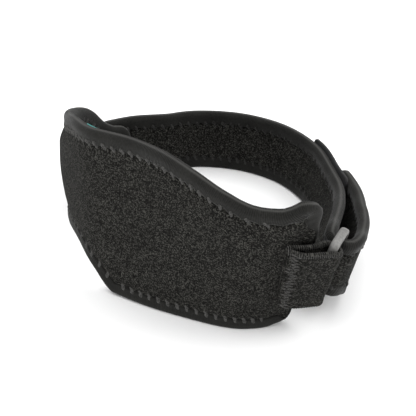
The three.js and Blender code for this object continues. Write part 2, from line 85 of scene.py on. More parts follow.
LOOP_ROWS = (
    LoopRow(-0.275, 0.4, 0, 0.03),
    LoopRow(-0.35, 0.36, 0, 0.05),
    LoopRow(-0.425, 0.295, -1, 0.06),
    LoopRow(-0.482, 0.195, -2, 0.06),
    LoopRow(-0.488, 0.055, -2, 0.06),
    LoopRow(-0.442, -0.115, -1, 0.06),
    LoopRow(-0.35, -0.28, 0, 0.06),
    LoopRow(-0.24, -0.35, 0, 0.06),
    LoopRow(-0.04, -0.44, 4, 0.1),
    LoopRow(0.165, -0.5, 10, 0.4),
    LoopRow(0.308, -0.47, 17, 0.55),
    LoopRow(0.404, -0.387, 15, 0.55),
    LoopRow(0.456, -0.25, 12, 0.34),
    LoopRow(0.493, -0.08, 10, 0.14),
    LoopRow(0.488, 0.07, 8, 0.05),
    LoopRow(0.457, 0.228, 6, 0.02),
    LoopRow(0.36, 0.374, 4, 0),
    LoopRow(0.19, 0.472, 2, 0),
    LoopRow(-0.01, 0.5, 0, 0),
    LoopRow(-0.13, 0.465, 0, 0.01),
)

PAD_ROWS = (
    OutlineRow(0, 0.34, 0),
    OutlineRow(0.06, 0.43, 0),
    OutlineRow(0.12, 0.59, 0.02),
    OutlineRow(0.2, 0.69, 0.05),
    OutlineRow(0.32, 0.81, 0.12),
    OutlineRow(0.43, 0.92, 0.17),
    OutlineRow(0.5, 0.96, 0.12),
    OutlineRow(0.56, 0.98, 0.01),
    OutlineRow(0.68, 0.99, 0),
    OutlineRow(0.77, 0.95, 0),
    OutlineRow(0.84, 0.89, 0),
    OutlineRow(0.89, 0.845, 0),
    OutlineRow(0.93, 0.86, 0),
    OutlineRow(0.965, 0.93, 0.02),
    OutlineRow(1, 0.98, 0.08),
)


@dataclass(frozen=True)
class Sizes:
    """The sizes of the solids, in millimetres, which the visible pieces keep to."""

    loop_width: float = 107
    loop_depth: float = 119
    centre_x: float = -6.64
    centre_y: float = 7.69
    pad_length: float = 172
    pad_height: float = 74
    pad_thickness: float = 4
    pad_corner: float = 7.2
    strap_height: float = 29
    strap_thickness: float = 3.4
    strap_corner: float = 8
    strap_gathered: float = 28
    strap_gather: float = 10
    strap_overlap: float = 16
    strap_ease: float = 22
    tail_length: float = 60
    tail_bulge: float = 1
    tape_width: float = 5.5
    tape_thickness: float = 0.7
    tape_gap: float = 0.45
    edge_thickness: float = 2.1
    ring_bar: float = 3.4
    ring_end: float = 2.2
    ring_corner: float = 3
    ring_play: float = 0.5
    ring_turn: float = math.radians(18)
    keeper_height: float = 31
    keeper_gathered: float = 27.4
    keeper_rise: float = 2.6
    keeper_free: float = 0.6
    keeper_thickness: float = 1.6
    keeper_seam: float = 6.5
    keeper_reach: float = 1.5
    keeper_lift: float = 16.5
    tab_length: float = 37
    tab_height: float = 28
    tab_rise: float = 1.2
    tab_thickness: float = 1.1
    tab_corner: float = 2
    tab_overlap: float = 16
    label_place: float = 0.46
    label_width: float = 12
    label_height: float = 14
    label_thickness: float = 0.8
    label_drop: float = 1.5
    gap: float = 0.3
    pressed: float = 0.3
    ear_reach: float = 1.2
    keeper_gather: float = 8
    strap_sag: float = 6.5
    strap_dent: float = 9.5
    dent_height: float = 31
    tail_sag: float = 4.4
    tail_reach: float = 2.2
    pad_fullness: float = 2.4
    fullness_place: float = 44
    fullness_width: float = 24
    narrow_hem: float = 0.07

    @property
    def tape_rim(self) -> float:
        """How far in from the tape's outer edge a panel starts."""
        return self.tape_gap + self.tape_thickness

    @property
    def tape_half(self) -> float:
        """Half the thickness of a taped edge."""
        return self.edge_thickness / 2 + self.tape_rim

    @property
    def pad_half(self) -> float:
        """Half the most that the pad is thick."""
        return max(self.pad_thickness / 2, self.tape_half)

    @property
    def strap_half(self) -> float:
        """Half the most that the strap is thick."""
        return max(self.strap_thickness / 2, self.tape_half)

    @property
    def bar_reach(self) -> float:
        """The farthest that the ring's bar reaches from its middle."""
        return math.hypot(self.ring_bar / 2, self.ring_bar / 4)

    @property
    def strap_fold(self) -> float:
        """Radius at which the strap's middle folds round its bar."""
        return self.bar_reach + self.gap + self.strap_half

    @property
    def keeper_fold(self) -> float:
        """Radius at which the keeper's middle folds round its bar."""
        return self.bar_reach + self.gap + self.keeper_thickness / 2

    @property
    def ring_pitch(self) -> float:
        """Distance between the middles of the ring's two long bars."""
        slot = 2 * self.strap_half + self.keeper_thickness + 3 * self.gap + self.ring_play
        return slot + self.ring_bar

    @property
    def ring_height(self) -> float:
        """Height of the ring over all."""
        held = max(self.strap_gathered, self.keeper_gathered)
        return held + 2 * (self.ring_play + self.ring_end)

    @property
    def keeper_back(self) -> float:
        """Offset of the keeper's inner layer at its seam."""
        return self.pad_half + 2 * self.gap + self.keeper_thickness / 2

    @property
    def keeper_front(self) -> float:
        """Offset of the keeper's outer layer at its seam."""
        return self.keeper_back + self.keeper_thickness + self.gap

    @property
    def keeper_bar_out(self) -> float:
        """Offset of the middle of the keeper's bar."""
        return self.keeper_back + self.keeper_fold + 2 * self.gap

    @property
    def bar_shift(self) -> float:
        """How far each bar stands off the ring's middle, as the ring is turned from the wall."""
        return self.ring_pitch / 2 * math.sin(self.ring_turn)

    @property
    def ring_out(self) -> float:
        """Offset of the ring's middle."""
        return self.keeper_bar_out - self.bar_shift

    @property
    def strap_bar_out(self) -> float:
        """Offset of the middle of the strap's bar."""
        return self.ring_out - self.bar_shift

    @property
    def strap_seat(self) -> float:
        """Offset of the strap where it lies on the pad."""
        return self.pad_half + self.gap + self.strap_half

    @property
    def tab_seat(self) -> float:
        """Offset of the tab from the strap that it lies on."""
        return self.strap_half + self.gap + self.tab_thickness / 2

    @property
    def ring_middle(self) -> float:
        """Height of the ring's middle up the wall."""
        return self.keeper_lift + self.keeper_height / 2

    @property
    def s_seam(self) -> float:
        """Place of the keeper's seam along the loop."""
        return self.pad_length - self.keeper_seam

    @property
    def s_ring(self) -> float:
        """Place of the ring's middle along the loop."""
        return self.pad_length + self.keeper_reach + self.ring_pitch / 2

    @property
    def s_strap_bar(self) -> float:
        """Place of the strap's bar along the loop."""
        return self.s_ring + self.ring_pitch / 2

    @property
    def s_tail_end(self) -> float:
        """Place of the tail's end along the loop."""
        return self.s_strap_bar + self.tail_length


SIZES = Sizes()


def smooth_step(x: np.ndarray | float, low: float, high: float) -> np.ndarray:
    """Rise smoothly from 0 at low to 1 at high.

    Args:
        x: Where the value is wanted.
        low: Where it starts to rise.
        high: Where it is 1.

    Returns:
        Values from 0 to 1.
    """
    share = np.clip((np.asarray(x, float) - low) / (high - low), 0, 1)
    return share * share * (3 - 2 * share)


def unit(vectors: np.ndarray) -> np.ndarray:
    """Scale each row of vectors to a length of 1."""
    return vectors / np.linalg.norm(vectors, axis=-1, keepdims=True)


def distances(points: np.ndarray) -> np.ndarray:
    """Return how far along a line each of its points lies."""
    return np.concatenate([[0], np.cumsum(np.linalg.norm(np.diff(points, axis=0), axis=1))])


def step_evenly(points: np.ndarray, count: int) -> tuple[np.ndarray, np.ndarray, float]:
    """Step evenly round a closed flat line.

    Args:
        points: Its points, one row each, without the first one again.
        count: Number of steps.

    Returns:
        The new points, the distance of each, and the whole length.
    """
    closed = np.concatenate([points, points[:1]])
    along = distances(closed)
    steps = np.arange(count) * along[-1] / count
    even = np.stack([np.interp(steps, along, closed[:, k]) for k in (0, 1)], axis=-1)
    return even, steps, float(along[-1])


class Column:
    """A smooth function through the rows of a table, which never swings past them."""

    def __init__(self, keys: Sequence[float], values: Sequence[float]) -> None:
        """Work out the slope at each row.

        Args:
            keys: The places of the rows, rising.
            values: The value of each row.
        """
        self.keys = np.asarray(keys, float)
        self.values = np.asarray(values, float)
        slopes = np.diff(self.values) / np.diff(self.keys)
        product = slopes[:-1] * slopes[1:]
        total = slopes[:-1] + slopes[1:]
        inner = np.where(product > 0, 2 * product / np.where(product > 0, total, 1), 0)
        self.tangents = np.concatenate([slopes[:1], inner, slopes[-1:]])

    def __call__(self, t: np.ndarray | float) -> np.ndarray:
        """Return the smooth value at each place."""
        t = np.asarray(t, float)
        i = np.clip(np.searchsorted(self.keys, t), 1, len(self.keys) - 1)
        span = self.keys[i] - self.keys[i - 1]
        u = np.clip((t - self.keys[i - 1]) / span, 0, 1)
        return (
            (1 + 2 * u) * (1 - u) ** 2 * self.values[i - 1]
            + u * (1 - u) ** 2 * span * self.tangents[i - 1]
            + u * u * (3 - 2 * u) * self.values[i]
            + u * u * (u - 1) * span * self.tangents[i]
        )


def spline(points: np.ndarray, steps: int, closed: bool = False) -> np.ndarray:
    """Run a centripetal curve through points.

    Args:
        points: The points, one row each.
        steps: Steps between two points.
        closed: Whether the curve joins up with its start.

    Returns:
        The curve's points, those given among them.
    """
    if closed:
        padded = np.concatenate([points[-1:], points, points[:2]])
    else:
        padded = np.concatenate([[2 * points[0] - points[1]], points, [2 * points[-1] - points[-2]]])
    p0, p1, p2, p3 = (padded[k : len(padded) - 3 + k] for k in range(4))
    root = [np.sqrt(np.linalg.norm(b - a, axis=1))[:, None] for a, b in ((p0, p1), (p1, p2), (p2, p3))]
    d0, d1, d2 = root
    t1 = ((p1 - p0) / d0 - (p2 - p0) / (d0 + d1) + (p2 - p1) / d1) * d1
    t2 = ((p2 - p1) / d1 - (p3 - p1) / (d1 + d2) + (p3 - p2) / d2) * d1
    u = (np.arange(steps) / steps)[None, :, None]
    a, b, ta, tb = (q[:, None, :] for q in (p1, p2, t1, t2))
    curve = a + ta * u + (3 * (b - a) - 2 * ta - tb) * u**2 + (2 * (a - b) + ta + tb) * u**3
    return np.concatenate([curve.reshape(-1, points.shape[1]), p2[-1:]])


class Key(NamedTuple):
    """A foot point and the upward direction there, with its place along the loop."""

    foot: np.ndarray
    rung: np.ndarray
    s: float


class Loop:
    """The closed line that the walls stand on, and how they lean."""

    def __init__(self) -> None:
        """Measure the foot line and spread the table's columns along it."""
        scale = (SIZES.loop_width, SIZES.loop_depth)
        points = np.array([(row.x * scale[0], row.y * scale[1]) for row in LOOP_ROWS])
        steps = 120
        self.line = spline(points, steps, closed=True)
        self.along = distances(self.line)
        self.length = float(self.along[-1])
        starts = self.along[:-1:steps]
        places = np.concatenate([starts + turn * self.length for turn in (-1, 0, 1)])
        self.lean = Column(places, [row.lean for row in LOOP_ROWS] * 3)
        self.lift = Column(places, [row.lift for row in LOOP_ROWS] * 3)

    def foot(self, s: float) -> np.ndarray:
        """Return the foot point at a place along the loop, in the part's frame."""
        t = s % self.length
        x, y = (np.interp(t, self.along, self.line[:, k]) for k in (0, 1))
        return np.array([x + SIZES.centre_x, y + SIZES.centre_y, 0.0])

    def wall(self, s: float, out: float = 0.0) -> tuple[np.ndarray, np.ndarray, np.ndarray]:
        """Describe the wall at a place.

        Args:
            s: Place along the loop.
            out: Offset to the wall's outer side.

        Returns:
            Its foot, its upward direction and its outward one.
        """
        ahead = unit(self.foot(s + 0.4) - self.foot(s - 0.4))
        outward = np.array([ahead[1], -ahead[0], 0.0])
        lean = math.radians(float(self.lean(s)))
        up = np.array([0.0, 0.0, 1.0])
        rung = math.cos(lean) * up + math.sin(lean) * outward
        normal = -math.sin(lean) * up + math.cos(lean) * outward
        return self.foot(s) + out * normal, rung, normal

    def keys(self, start: float, end: float, out: Callable[[float], float]) -> list[Key]:
        """List keys every few millimetres along the wall, at an offset that may change.

        Args:
            start: First place along the loop.
            end: Last place.
            out: The offset at a place.

        Returns:
            The keys in order.
        """
        steps = max(1, round(abs(end - start) / 4))
        places = [start + (end - start) * i / steps for i in range(steps + 1)]
        walls = [(s, self.wall(s, float(out(s)))) for s in places]
        return [Key(foot, rung, s) for s, (foot, rung, _) in walls]


LOOP = Loop()


class RingFrame:
    """Where the ring stands and how it is turned."""

    def __init__(self) -> None:
        """Turn the wall's own directions about the upward one."""
        self.foot, self.rung, normal = LOOP.wall(SIZES.s_ring, SIZES.ring_out)
        cos, sin = math.cos(SIZES.ring_turn), math.sin(SIZES.ring_turn)
        self.normal = normal * cos + np.cross(self.rung, normal) * sin
        self.ahead = unit(np.cross(self.rung, self.normal))

    def round_bar(self, radius: float, way: int, start: float = 0.0, end: float = math.pi) -> list[Key]:
        """List keys round a bar, from its inner to its outer side.

        Args:
            radius: Distance from the bar's middle.
            way: 1 for the strap's bar, which lies ahead, and -1 for the keeper's.
            start: First angle.
            end: Last angle.

        Returns:
            The keys in order.
        """
        centre = self.foot + self.ahead * way * SIZES.ring_pitch / 2
        angles = np.linspace(start, end, 9)
        return [
            Key(
                centre - radius * math.cos(a) * self.normal - way * radius * math.sin(a) * self.ahead,
                self.rung,
                SIZES.s_ring,
            )
            for a in angles
        ]


RING_FRAME = RingFrame()


class Course:
    """The line that a strip follows: a smooth run of foot points and upward directions."""

    PER_KEY = 8

    def __init__(self, keys: list[Key], height: float) -> None:
        """Lay smooth curves through the feet and the heads of the keys.

        Args:
            keys: The keys in order.
            height: How far up the rungs the heads are.
        """
        feet = np.array([key.foot for key in keys])
        heads = np.array([key.foot + key.rung * height for key in keys])
        self.feet = spline(feet, self.PER_KEY)
        self.rungs = unit(spline(heads, self.PER_KEY) - self.feet)
        middle = self.feet + self.rungs * height / 2
        self.distances = distances(middle)
        self.length = float(self.distances[-1])
        self.sides = unit(np.cross(np.gradient(middle, axis=0), self.rungs))

    def place(self, d: np.ndarray, h: np.ndarray, offset: np.ndarray) -> np.ndarray:
        """Wrap flat points round the course.

        Args:
            d: Distances along it.
            h: Heights up it.
            offset: Offsets to its outer side.

        Returns:
            The points, one row each.
        """

        def at(columns: np.ndarray) -> np.ndarray:
            return np.stack([np.interp(d, self.distances, columns[:, k]) for k in range(3)], axis=-1)

        rung, side = unit(at(self.rungs)), unit(at(self.sides))
        return at(self.feet) + rung * np.asarray(h)[..., None] + side * np.asarray(offset)[..., None]


@dataclass
class Outline:
    """A closed flat outline: points, inward directions and the distance along it."""

    d: np.ndarray
    h: np.ndarray
    inward: np.ndarray
    along: np.ndarray
    length: float


def no_shift(d: np.ndarray, h: np.ndarray) -> np.ndarray:
    """Return no shift anywhere on the flat cloth."""
    return np.zeros(np.shape(d))


def whole_hem(d: np.ndarray, h: np.ndarray) -> np.ndarray:
    """Return the whole width of the tape's outer face everywhere."""
    return np.ones(np.shape(d))


class Strip:
    """A flat strip with round corners on a course."""

    STEP = 0.75

    def __init__(
        self, course: Course, top: Height, bottom: Height, corner: float, dent: Field = no_shift
    ) -> None:
        """Keep the strip's edges.

        Args:
            course: The line that it follows.
            top: Height of its upper edge at a distance.
            bottom: Height of its lower edge.
            corner: Radius of its corners.
            dent: How far it stands off the course at a flat point.
        """
        self.course = course
        self.corner = corner
        self.dent = dent
        self._top = top
        self._bottom = bottom

    def _within(self, d: np.ndarray) -> np.ndarray:
        return np.clip(d, self.corner, self.course.length - self.corner)

    def top(self, d: np.ndarray) -> np.ndarray:
        """Return the upper edge's height, level at the corners."""
        return self._top(self._within(d))

    def bottom(self, d: np.ndarray) -> np.ndarray:
        """Return the lower edge's height, level at the corners."""
        return self._bottom(self._within(d))

    @cached_property
    def outline(self) -> Outline:
        """The outline, stepped evenly, with inward directions that turn smoothly."""
        length, corner = self.course.length, self.corner
        straight = np.linspace(corner, length - corner, 800)
        quarter = np.linspace(0, math.pi / 2, 24)

        def arc(d: float, h: float, start: float) -> tuple[np.ndarray, np.ndarray]:
            return d + corner * np.cos(start + quarter), h + corner * np.sin(start + quarter)

        ends = [float(self.bottom(np.array(length))), float(self.top(np.array(length)))]
        starts = [float(self.bottom(np.array(0.0))), float(self.top(np.array(0.0)))]
        runs = [
            (straight, self.bottom(straight)),
            arc(length - corner, ends[0] + corner, -math.pi / 2),
            arc(length - corner, ends[1] - corner, 0),
            (straight[::-1], self.top(straight[::-1])),
            arc(corner, starts[1] - corner, math.pi / 2),
            arc(corner, starts[0] + corner, math.pi),
        ]
        points = np.stack([np.concatenate([run[k] for run in runs]) for k in (0, 1)], axis=-1)
        keep = np.linalg.norm(np.diff(points, axis=0, append=points[:1]), axis=1) > 1e-6
        points = points[keep]
        rough = distances(np.concatenate([points, points[:1]]))[-1]
        even, steps, total = step_evenly(points, int(round(rough / self.STEP)))
        ahead = np.roll(even, -1, axis=0) - np.roll(even, 1, axis=0)
        inward = unit(np.stack([-ahead[:, 1], ahead[:, 0]], axis=-1))
        weights = np.exp(-((np.arange(-6, 7) / 2.4) ** 2))
        smooth = sum(w * np.roll(inward, k, axis=0) for k, w in zip(range(-6, 7), weights))
        return Outline(even[:, 0], even[:, 1], unit(smooth), steps, total)

    def place(self, d: np.ndarray, h: np.ndarray, offset: np.ndarray) -> np.ndarray:
        """Wrap flat points round the course, dents and all."""
        return self.course.place(d, h, offset + self.dent(d, h))

    def depth(self, d: np.ndarray, h: np.ndarray) -> np.ndarray:
        """Return how far each flat point is from the outline."""
        line = np.stack([self.outline.d, self.outline.h], axis=-1)
        points = np.stack([d, h], axis=-1)
        parts = np.array_split(points, max(1, len(points) // 2000))
        nearest = [np.linalg.norm(part[:, None, :] - line[None], axis=2).min(1) for part in parts]
        return np.concatenate(nearest)

    @property
    def area(self) -> float:
        """The flat strip's area, in square millimetres."""
        d, h = self.outline.d, self.outline.h
        return float(abs(np.dot(d, np.roll(h, -1)) - np.dot(h, np.roll(d, -1))) / 2)


def deselect() -> None:
    """Leave nothing selected or active."""
    bpy.ops.object.select_all(action="DESELECT")
    bpy.context.view_layer.objects.active = None


def coordinates(obj: bpy.types.Object) -> np.ndarray:
    """Return an object's vertices, one row each."""
    flat = np.empty(3 * len(obj.data.vertices))
    obj.data.vertices.foreach_get("co", flat)
    return flat.reshape(-1, 3)


def settle(obj: bpy.types.Object, name: str, points: np.ndarray) -> bpy.types.Object:
    """Give an object its name and its vertices' places, and turn its faces outwards.

    Args:
        obj: The object.
        name: Its name.
        points: Its vertices in millimetres, one row each.

    Returns:
        The object, shaded smooth.
    """
    obj.name = name
    obj.data.name = name
    obj.matrix_world.identity()
    points[:, 2] = np.maximum(points[:, 2], 0)
    obj.data.vertices.foreach_set("co", (points * MM).ravel())
    mesh = bmesh.new()
    mesh.from_mesh(obj.data)
    if mesh.calc_volume(signed=True) < 0:
        bmesh.ops.reverse_faces(mesh, faces=mesh.faces)
    mesh.to_mesh(obj.data)
    mesh.free()
    obj.data.polygons.foreach_set("use_smooth", [True] * len(obj.data.polygons))
    obj.data.update()
    return obj


def write_uv(obj: bpy.types.Object, u: np.ndarray, v: np.ndarray, turn: float | None = None) -> None:
    """Write a UV map from a value at each vertex.

    Args:
        obj: The object.
        u: Millimetres along the cloth at each vertex.
        v: Millimetres across it.
        turn: Where u starts again, on a closed band.
    """
    while obj.data.uv_layers:
        obj.data.uv_layers.remove(obj.data.uv_layers[0])
    layer = obj.data.uv_layers.new(name="cloth")
    index = np.empty(len(obj.data.loops), int)
    obj.data.loops.foreach_get("vertex_index", index)
    uv = np.stack([u[index], v[index]], axis=-1)
    if turn is not None:
        starts = np.array([face.loop_start for face in obj.data.polygons])
        corners = starts[:, None] + np.arange(4)
        wraps = np.ptp(uv[corners, 0], axis=1) > turn / 2
        low = uv[corners, 0] < turn / 2
        chosen = corners[wraps[:, None] & low]
        uv[chosen, 0] += turn
    layer.data.foreach_set("uv", (uv * UV_PER_MM).ravel())


@dataclass(frozen=True)
class SheetForm:
    """How finely a sheet is divided, and how its thickness goes over its face."""

    across: int
    up: int
    half: Callable[[np.ndarray, np.ndarray, np.ndarray, np.ndarray], np.ndarray]


def thick_grid(across: int, up: int) -> bpy.types.Object:
    """Add a flat grid from -1 to 1 both ways, with its two faces at -1 and 1."""
    deselect()
    bpy.ops.mesh.primitive_grid_add(x_subdivisions=across, y_subdivisions=up, size=2)
    obj = bpy.context.active_object
    thick = obj.modifiers.new("thickness", "SOLIDIFY")
    thick.thickness = 2
    thick.offset = 0
    thick.use_even_offset = False
    bpy.ops.object.modifier_apply(modifier=thick.name)
    return obj


def round_rim(depth: np.ndarray, radius: float, least: float) -> np.ndarray:
    """Return the share of its thickness that a sheet has near its edge."""
    return np.sqrt(np.clip(1 - (1 - np.clip(depth / radius, 0, 1)) ** 2, least, 1))


def make_sheet(name: str, strip: Strip, form: SheetForm, inset: float = 0.0) -> bpy.types.Object:
    """Cut a sheet flat, give it its thickness and wrap it round its course.

    Args:
        name: Name of the piece.
        strip: The strip that it fills.
        form: Its divisions, and half its thickness from distance, height, depth and side.
        inset: How far inside the strip's outline it stays.

    Returns:
        The finished sheet.
    """
    obj = thick_grid(form.across, form.up)
    flat = coordinates(obj)
    corner = strip.corner - inset
    u, v, side = (flat[:, 0] + 1) / 2, (flat[:, 1] + 1) / 2, np.sign(flat[:, 2])
    span = strip.course.length - 2 * inset
    crowd = np.sin(np.pi * (u - 0.5)) / 2 + 0.5
    share = min(0.9, 2.5 * corner / span)
    d = inset + span * ((1 - share) * u + share * crowd)
    from_end = np.clip(np.minimum(d - inset, inset + span - d), 0, corner)
    cut = corner - np.sqrt(np.maximum(0, corner**2 - (corner - from_end) ** 2))
    slope_t = np.hypot(1, strip.top(d + 0.5) - strip.top(d - 0.5))
    slope_b = np.hypot(1, strip.bottom(d + 0.5) - strip.bottom(d - 0.5))
    high = strip.top(d) - inset * slope_t - cut
    low = strip.bottom(d) + inset * slope_b + cut
    h = low + (high - low) * v
    depth = strip.depth(d, h)
    offset = form.half(d, h, depth, side)
    settle(obj, name, strip.place(d, h, offset))
    write_uv(obj, d, h)
    return obj


@dataclass(frozen=True)
class Band:
    """A closed band, with each vertex's step round it and its point of the section."""

    obj: bpy.types.Object
    i: np.ndarray
    j: np.ndarray


def make_band(name: str, around: int, rows: int, point: Field) -> Band:
    """Shape a ring of quads into a closed band.

    Args:
        name: Name of the piece.
        around: Steps round it.
        rows: Points of its section.
        point: The place of a step and a section point, by their numbers.

    Returns:
        The finished band.
    """
    deselect()
    bpy.ops.mesh.primitive_torus_add(
        major_segments=around, minor_segments=rows, major_radius=2, minor_radius=0.5, generate_uvs=False
    )
    obj = bpy.context.active_object
    start = coordinates(obj)
    major = np.arctan2(start[:, 1], start[:, 0]) % math.tau
    minor = np.arctan2(start[:, 2], np.hypot(start[:, 0], start[:, 1]) - 2) % math.tau
    i = np.rint(major / math.tau * around).astype(int) % around
    j = np.rint(minor / math.tau * rows).astype(int) % rows
    return Band(settle(obj, name, point(i, j)), i, j)


@dataclass
class Thread:
    """A sewing thread that lies along a list of points."""

    radius: float = 0.2

    def sew(
        self, name: str, points: np.ndarray, thick: np.ndarray, closed: bool = False
    ) -> bpy.types.Object:
        """Lay the thread.

        Args:
            name: Name of the piece.
            points: The thread's middle line in millimetres.
            thick: Its radius at each point, as a share of its full radius.
            closed: Whether it joins up.

        Returns:
            The thread as a mesh.
        """
        deselect()
        curve = bpy.data.curves.new(name, "CURVE")
        curve.dimensions = "3D"
        curve.bevel_depth = self.radius * MM
        curve.bevel_resolution = 1
        curve.use_fill_caps = True
        run = curve.splines.new("POLY")
        run.points.add(len(points) - 1)
        padded = np.concatenate([points * MM, np.ones((len(points), 1))], axis=1)
        run.points.foreach_set("co", padded.ravel())
        run.points.foreach_set("radius", thick)
        run.use_cyclic_u = closed
        obj = bpy.data.objects.new(name, curve)
        bpy.context.collection.objects.link(obj)
        obj.select_set(True)
        bpy.context.view_layer.objects.active = obj
        bpy.ops.object.convert(target="MESH")
        obj = bpy.context.active_object
        obj.data.polygons.foreach_set("use_smooth", [True] * len(obj.data.polygons))
        return obj


class Slot(Enum):
    """The material slots."""

    PILE = "pile"
    TAPE = "tape"
    RING = "ring"
    HOOK = "hook"
    LABEL = "label"


Colour = tuple[float, float, float]


class Nodes:
    """Adds and links the nodes of one material."""

    def __init__(self, name: str) -> None:
        """Start a material with a surface shader.

        Args:
            name: Name of the material.
        """
        self.material = bpy.data.materials.new(name)
        self.material.use_nodes = True
        self.tree = self.material.node_tree
        self.shader = self.tree.nodes["Principled BSDF"]

    def add(
        self, kind: str, inputs: dict[str | int, object] | None = None, **settings: object
    ) -> bpy.types.Node:
        """Add a node.

        Args:
            kind: Blender's name of the node's type.
            inputs: Values or sockets for its inputs, by name or place.
            settings: Its own properties.

        Returns:
            The node.
        """
        node = self.tree.nodes.new(kind)
        for key, value in settings.items():
            setattr(node, key, value)
        for key, value in (inputs or {}).items():
            self.feed(node.inputs[key], value)
        return node

    def feed(self, socket: bpy.types.NodeSocket, value: object) -> None:
        """Link a socket to another, or set its value."""
        if isinstance(value, bpy.types.NodeSocket):
            self.tree.links.new(value, socket)
        else:
            socket.default_value = value

    def math(self, operation: str, *values: object) -> bpy.types.NodeSocket:
        """Add a sum of one or two values and return its result."""
        node = self.add("ShaderNodeMath", dict(enumerate(values)), operation=operation)
        return node.outputs[0]

    def ramp(
        self, factor: bpy.types.NodeSocket, stops: Sequence[tuple[float, Colour]]
    ) -> bpy.types.NodeSocket:
        """Add a colour ramp.

        Args:
            factor: What it reads.
            stops: Its places and colours.

        Returns:
            Its colour.
        """
        node = self.add("ShaderNodeValToRGB", {0: factor})
        elements = node.color_ramp.elements
        while len(elements) < len(stops):
            elements.new(0.5)
        for element, (place, colour) in zip(elements, stops):
            element.position = place
            element.color = (*colour, 1)
        return node.outputs[0]

    def bump(
        self, height: bpy.types.NodeSocket, depth: float, below: object = None
    ) -> bpy.types.NodeSocket:
        """Add a relief.

        Args:
            height: Its height, from 0 to 1.
            depth: What a height of 1 is, in millimetres.
            below: A relief that it lies on.

        Returns:
            The normal.
        """
        node = self.add("ShaderNodeBump", {"Height": height, "Strength": 1.0, "Distance": depth * MM})
        if below is not None:
            self.feed(node.inputs["Normal"], below)
        return node.outputs[0]

    def scaled_uv(self, along: float, across: float) -> bpy.types.NodeSocket:
        """Return the cloth's own coordinates, in steps of the given millimetres."""
        uv = self.add("ShaderNodeUVMap", uv_map="cloth")
        scale = (1 / (UV_PER_MM * along), 1 / (UV_PER_MM * across), 1.0)
        node = self.add("ShaderNodeMapping", {"Vector": uv.outputs[0], "Scale": scale})
        return node.outputs[0]

    def noise(self, vector: object, scale: float, detail: float) -> bpy.types.NodeSocket:
        """Add a noise and return its value."""
        inputs = {"Vector": vector, "Scale": scale, "Detail": detail}
        return self.add("ShaderNodeTexNoise", inputs).outputs[0]

    def product(self, value: object, share: object) -> bpy.types.NodeSocket:
        """Return the product of two values."""
        return self.math("MULTIPLY", value, share)

    def remap(self, value: object, **ends: float) -> bpy.types.NodeSocket:
        """Map a value between the given ends, named with underscores."""
        inputs = {"Value": value, **{key.replace("_", " "): end for key, end in ends.items()}}
        return self.add("ShaderNodeMapRange", inputs).outputs[0]

    def finish(
        self, colour: object, roughness: object, normal: object = None, **sockets: float
    ) -> bpy.types.Material:
        """Set the surface shader and return the material.

        Args:
            colour: Its colour, as a socket or a value.
            roughness: Its roughness, as a socket or a value.
            normal: Its relief.
            sockets: Values that are the same all over, with spaces as underscores.

        Returns:
            The material.
        """
        self.feed(self.shader.inputs["Base Color"], colour)
        self.feed(self.shader.inputs["Roughness"], roughness)
        if normal is not None:
            self.feed(self.shader.inputs["Normal"], normal)
        for key, value in sockets.items():
            self.shader.inputs[key.replace("_", " ")].default_value = value
        return self.material


@dataclass(frozen=True)
class LoopedPile:
    """Fine looped cloth: dark, with light and dark specks a loop wide."""

    name: str
    loop: float = 0.34
    relief: float = 0.3
    dark: Colour = (0.0021, 0.0021, 0.0018)
    middle: Colour = (0.0082, 0.008, 0.0071)
    light: Colour = (0.066, 0.065, 0.0585)

    def build(self) -> bpy.types.Material:
        """Make the material."""
        nodes = Nodes(self.name)
        cells = nodes.scaled_uv(self.loop, self.loop)
        inputs = {"Vector": cells, "Scale": 1.0}
        loops = nodes.add("ShaderNodeTexVoronoi", inputs, voronoi_dimensions="2D").outputs
        chance = nodes.add("ShaderNodeSeparateColor", {0: loops["Color"]}).outputs[0]
        grain = nodes.noise(cells, 2.3, 1.0)
        cloud = nodes.noise(nodes.scaled_uv(12.0, 12.0), 1.0, 2.0)
        mixed = nodes.math("ADD", nodes.product(chance, 0.6), nodes.product(grain, 0.4))
        cloudy = nodes.product(nodes.math("SUBTRACT", cloud, 0.5), 0.1)
        shifted = nodes.math("ADD", mixed, cloudy)
        soft = tuple(2.2 * c for c in self.middle)
        stops = [(0.26, self.dark), (0.46, self.middle), (0.62, soft), (0.8, self.light)]
        colour = nodes.ramp(shifted, stops)
        height = nodes.math("ADD", nodes.product(loops["Distance"], -0.6), shifted)
        normal = nodes.bump(height, self.relief, nodes.bump(cloud, 0.4))
        return nodes.finish(
            colour, 0.95, normal, Sheen_Weight=0.012, Sheen_Roughness=0.5, Specular_IOR_Level=0.06
        )


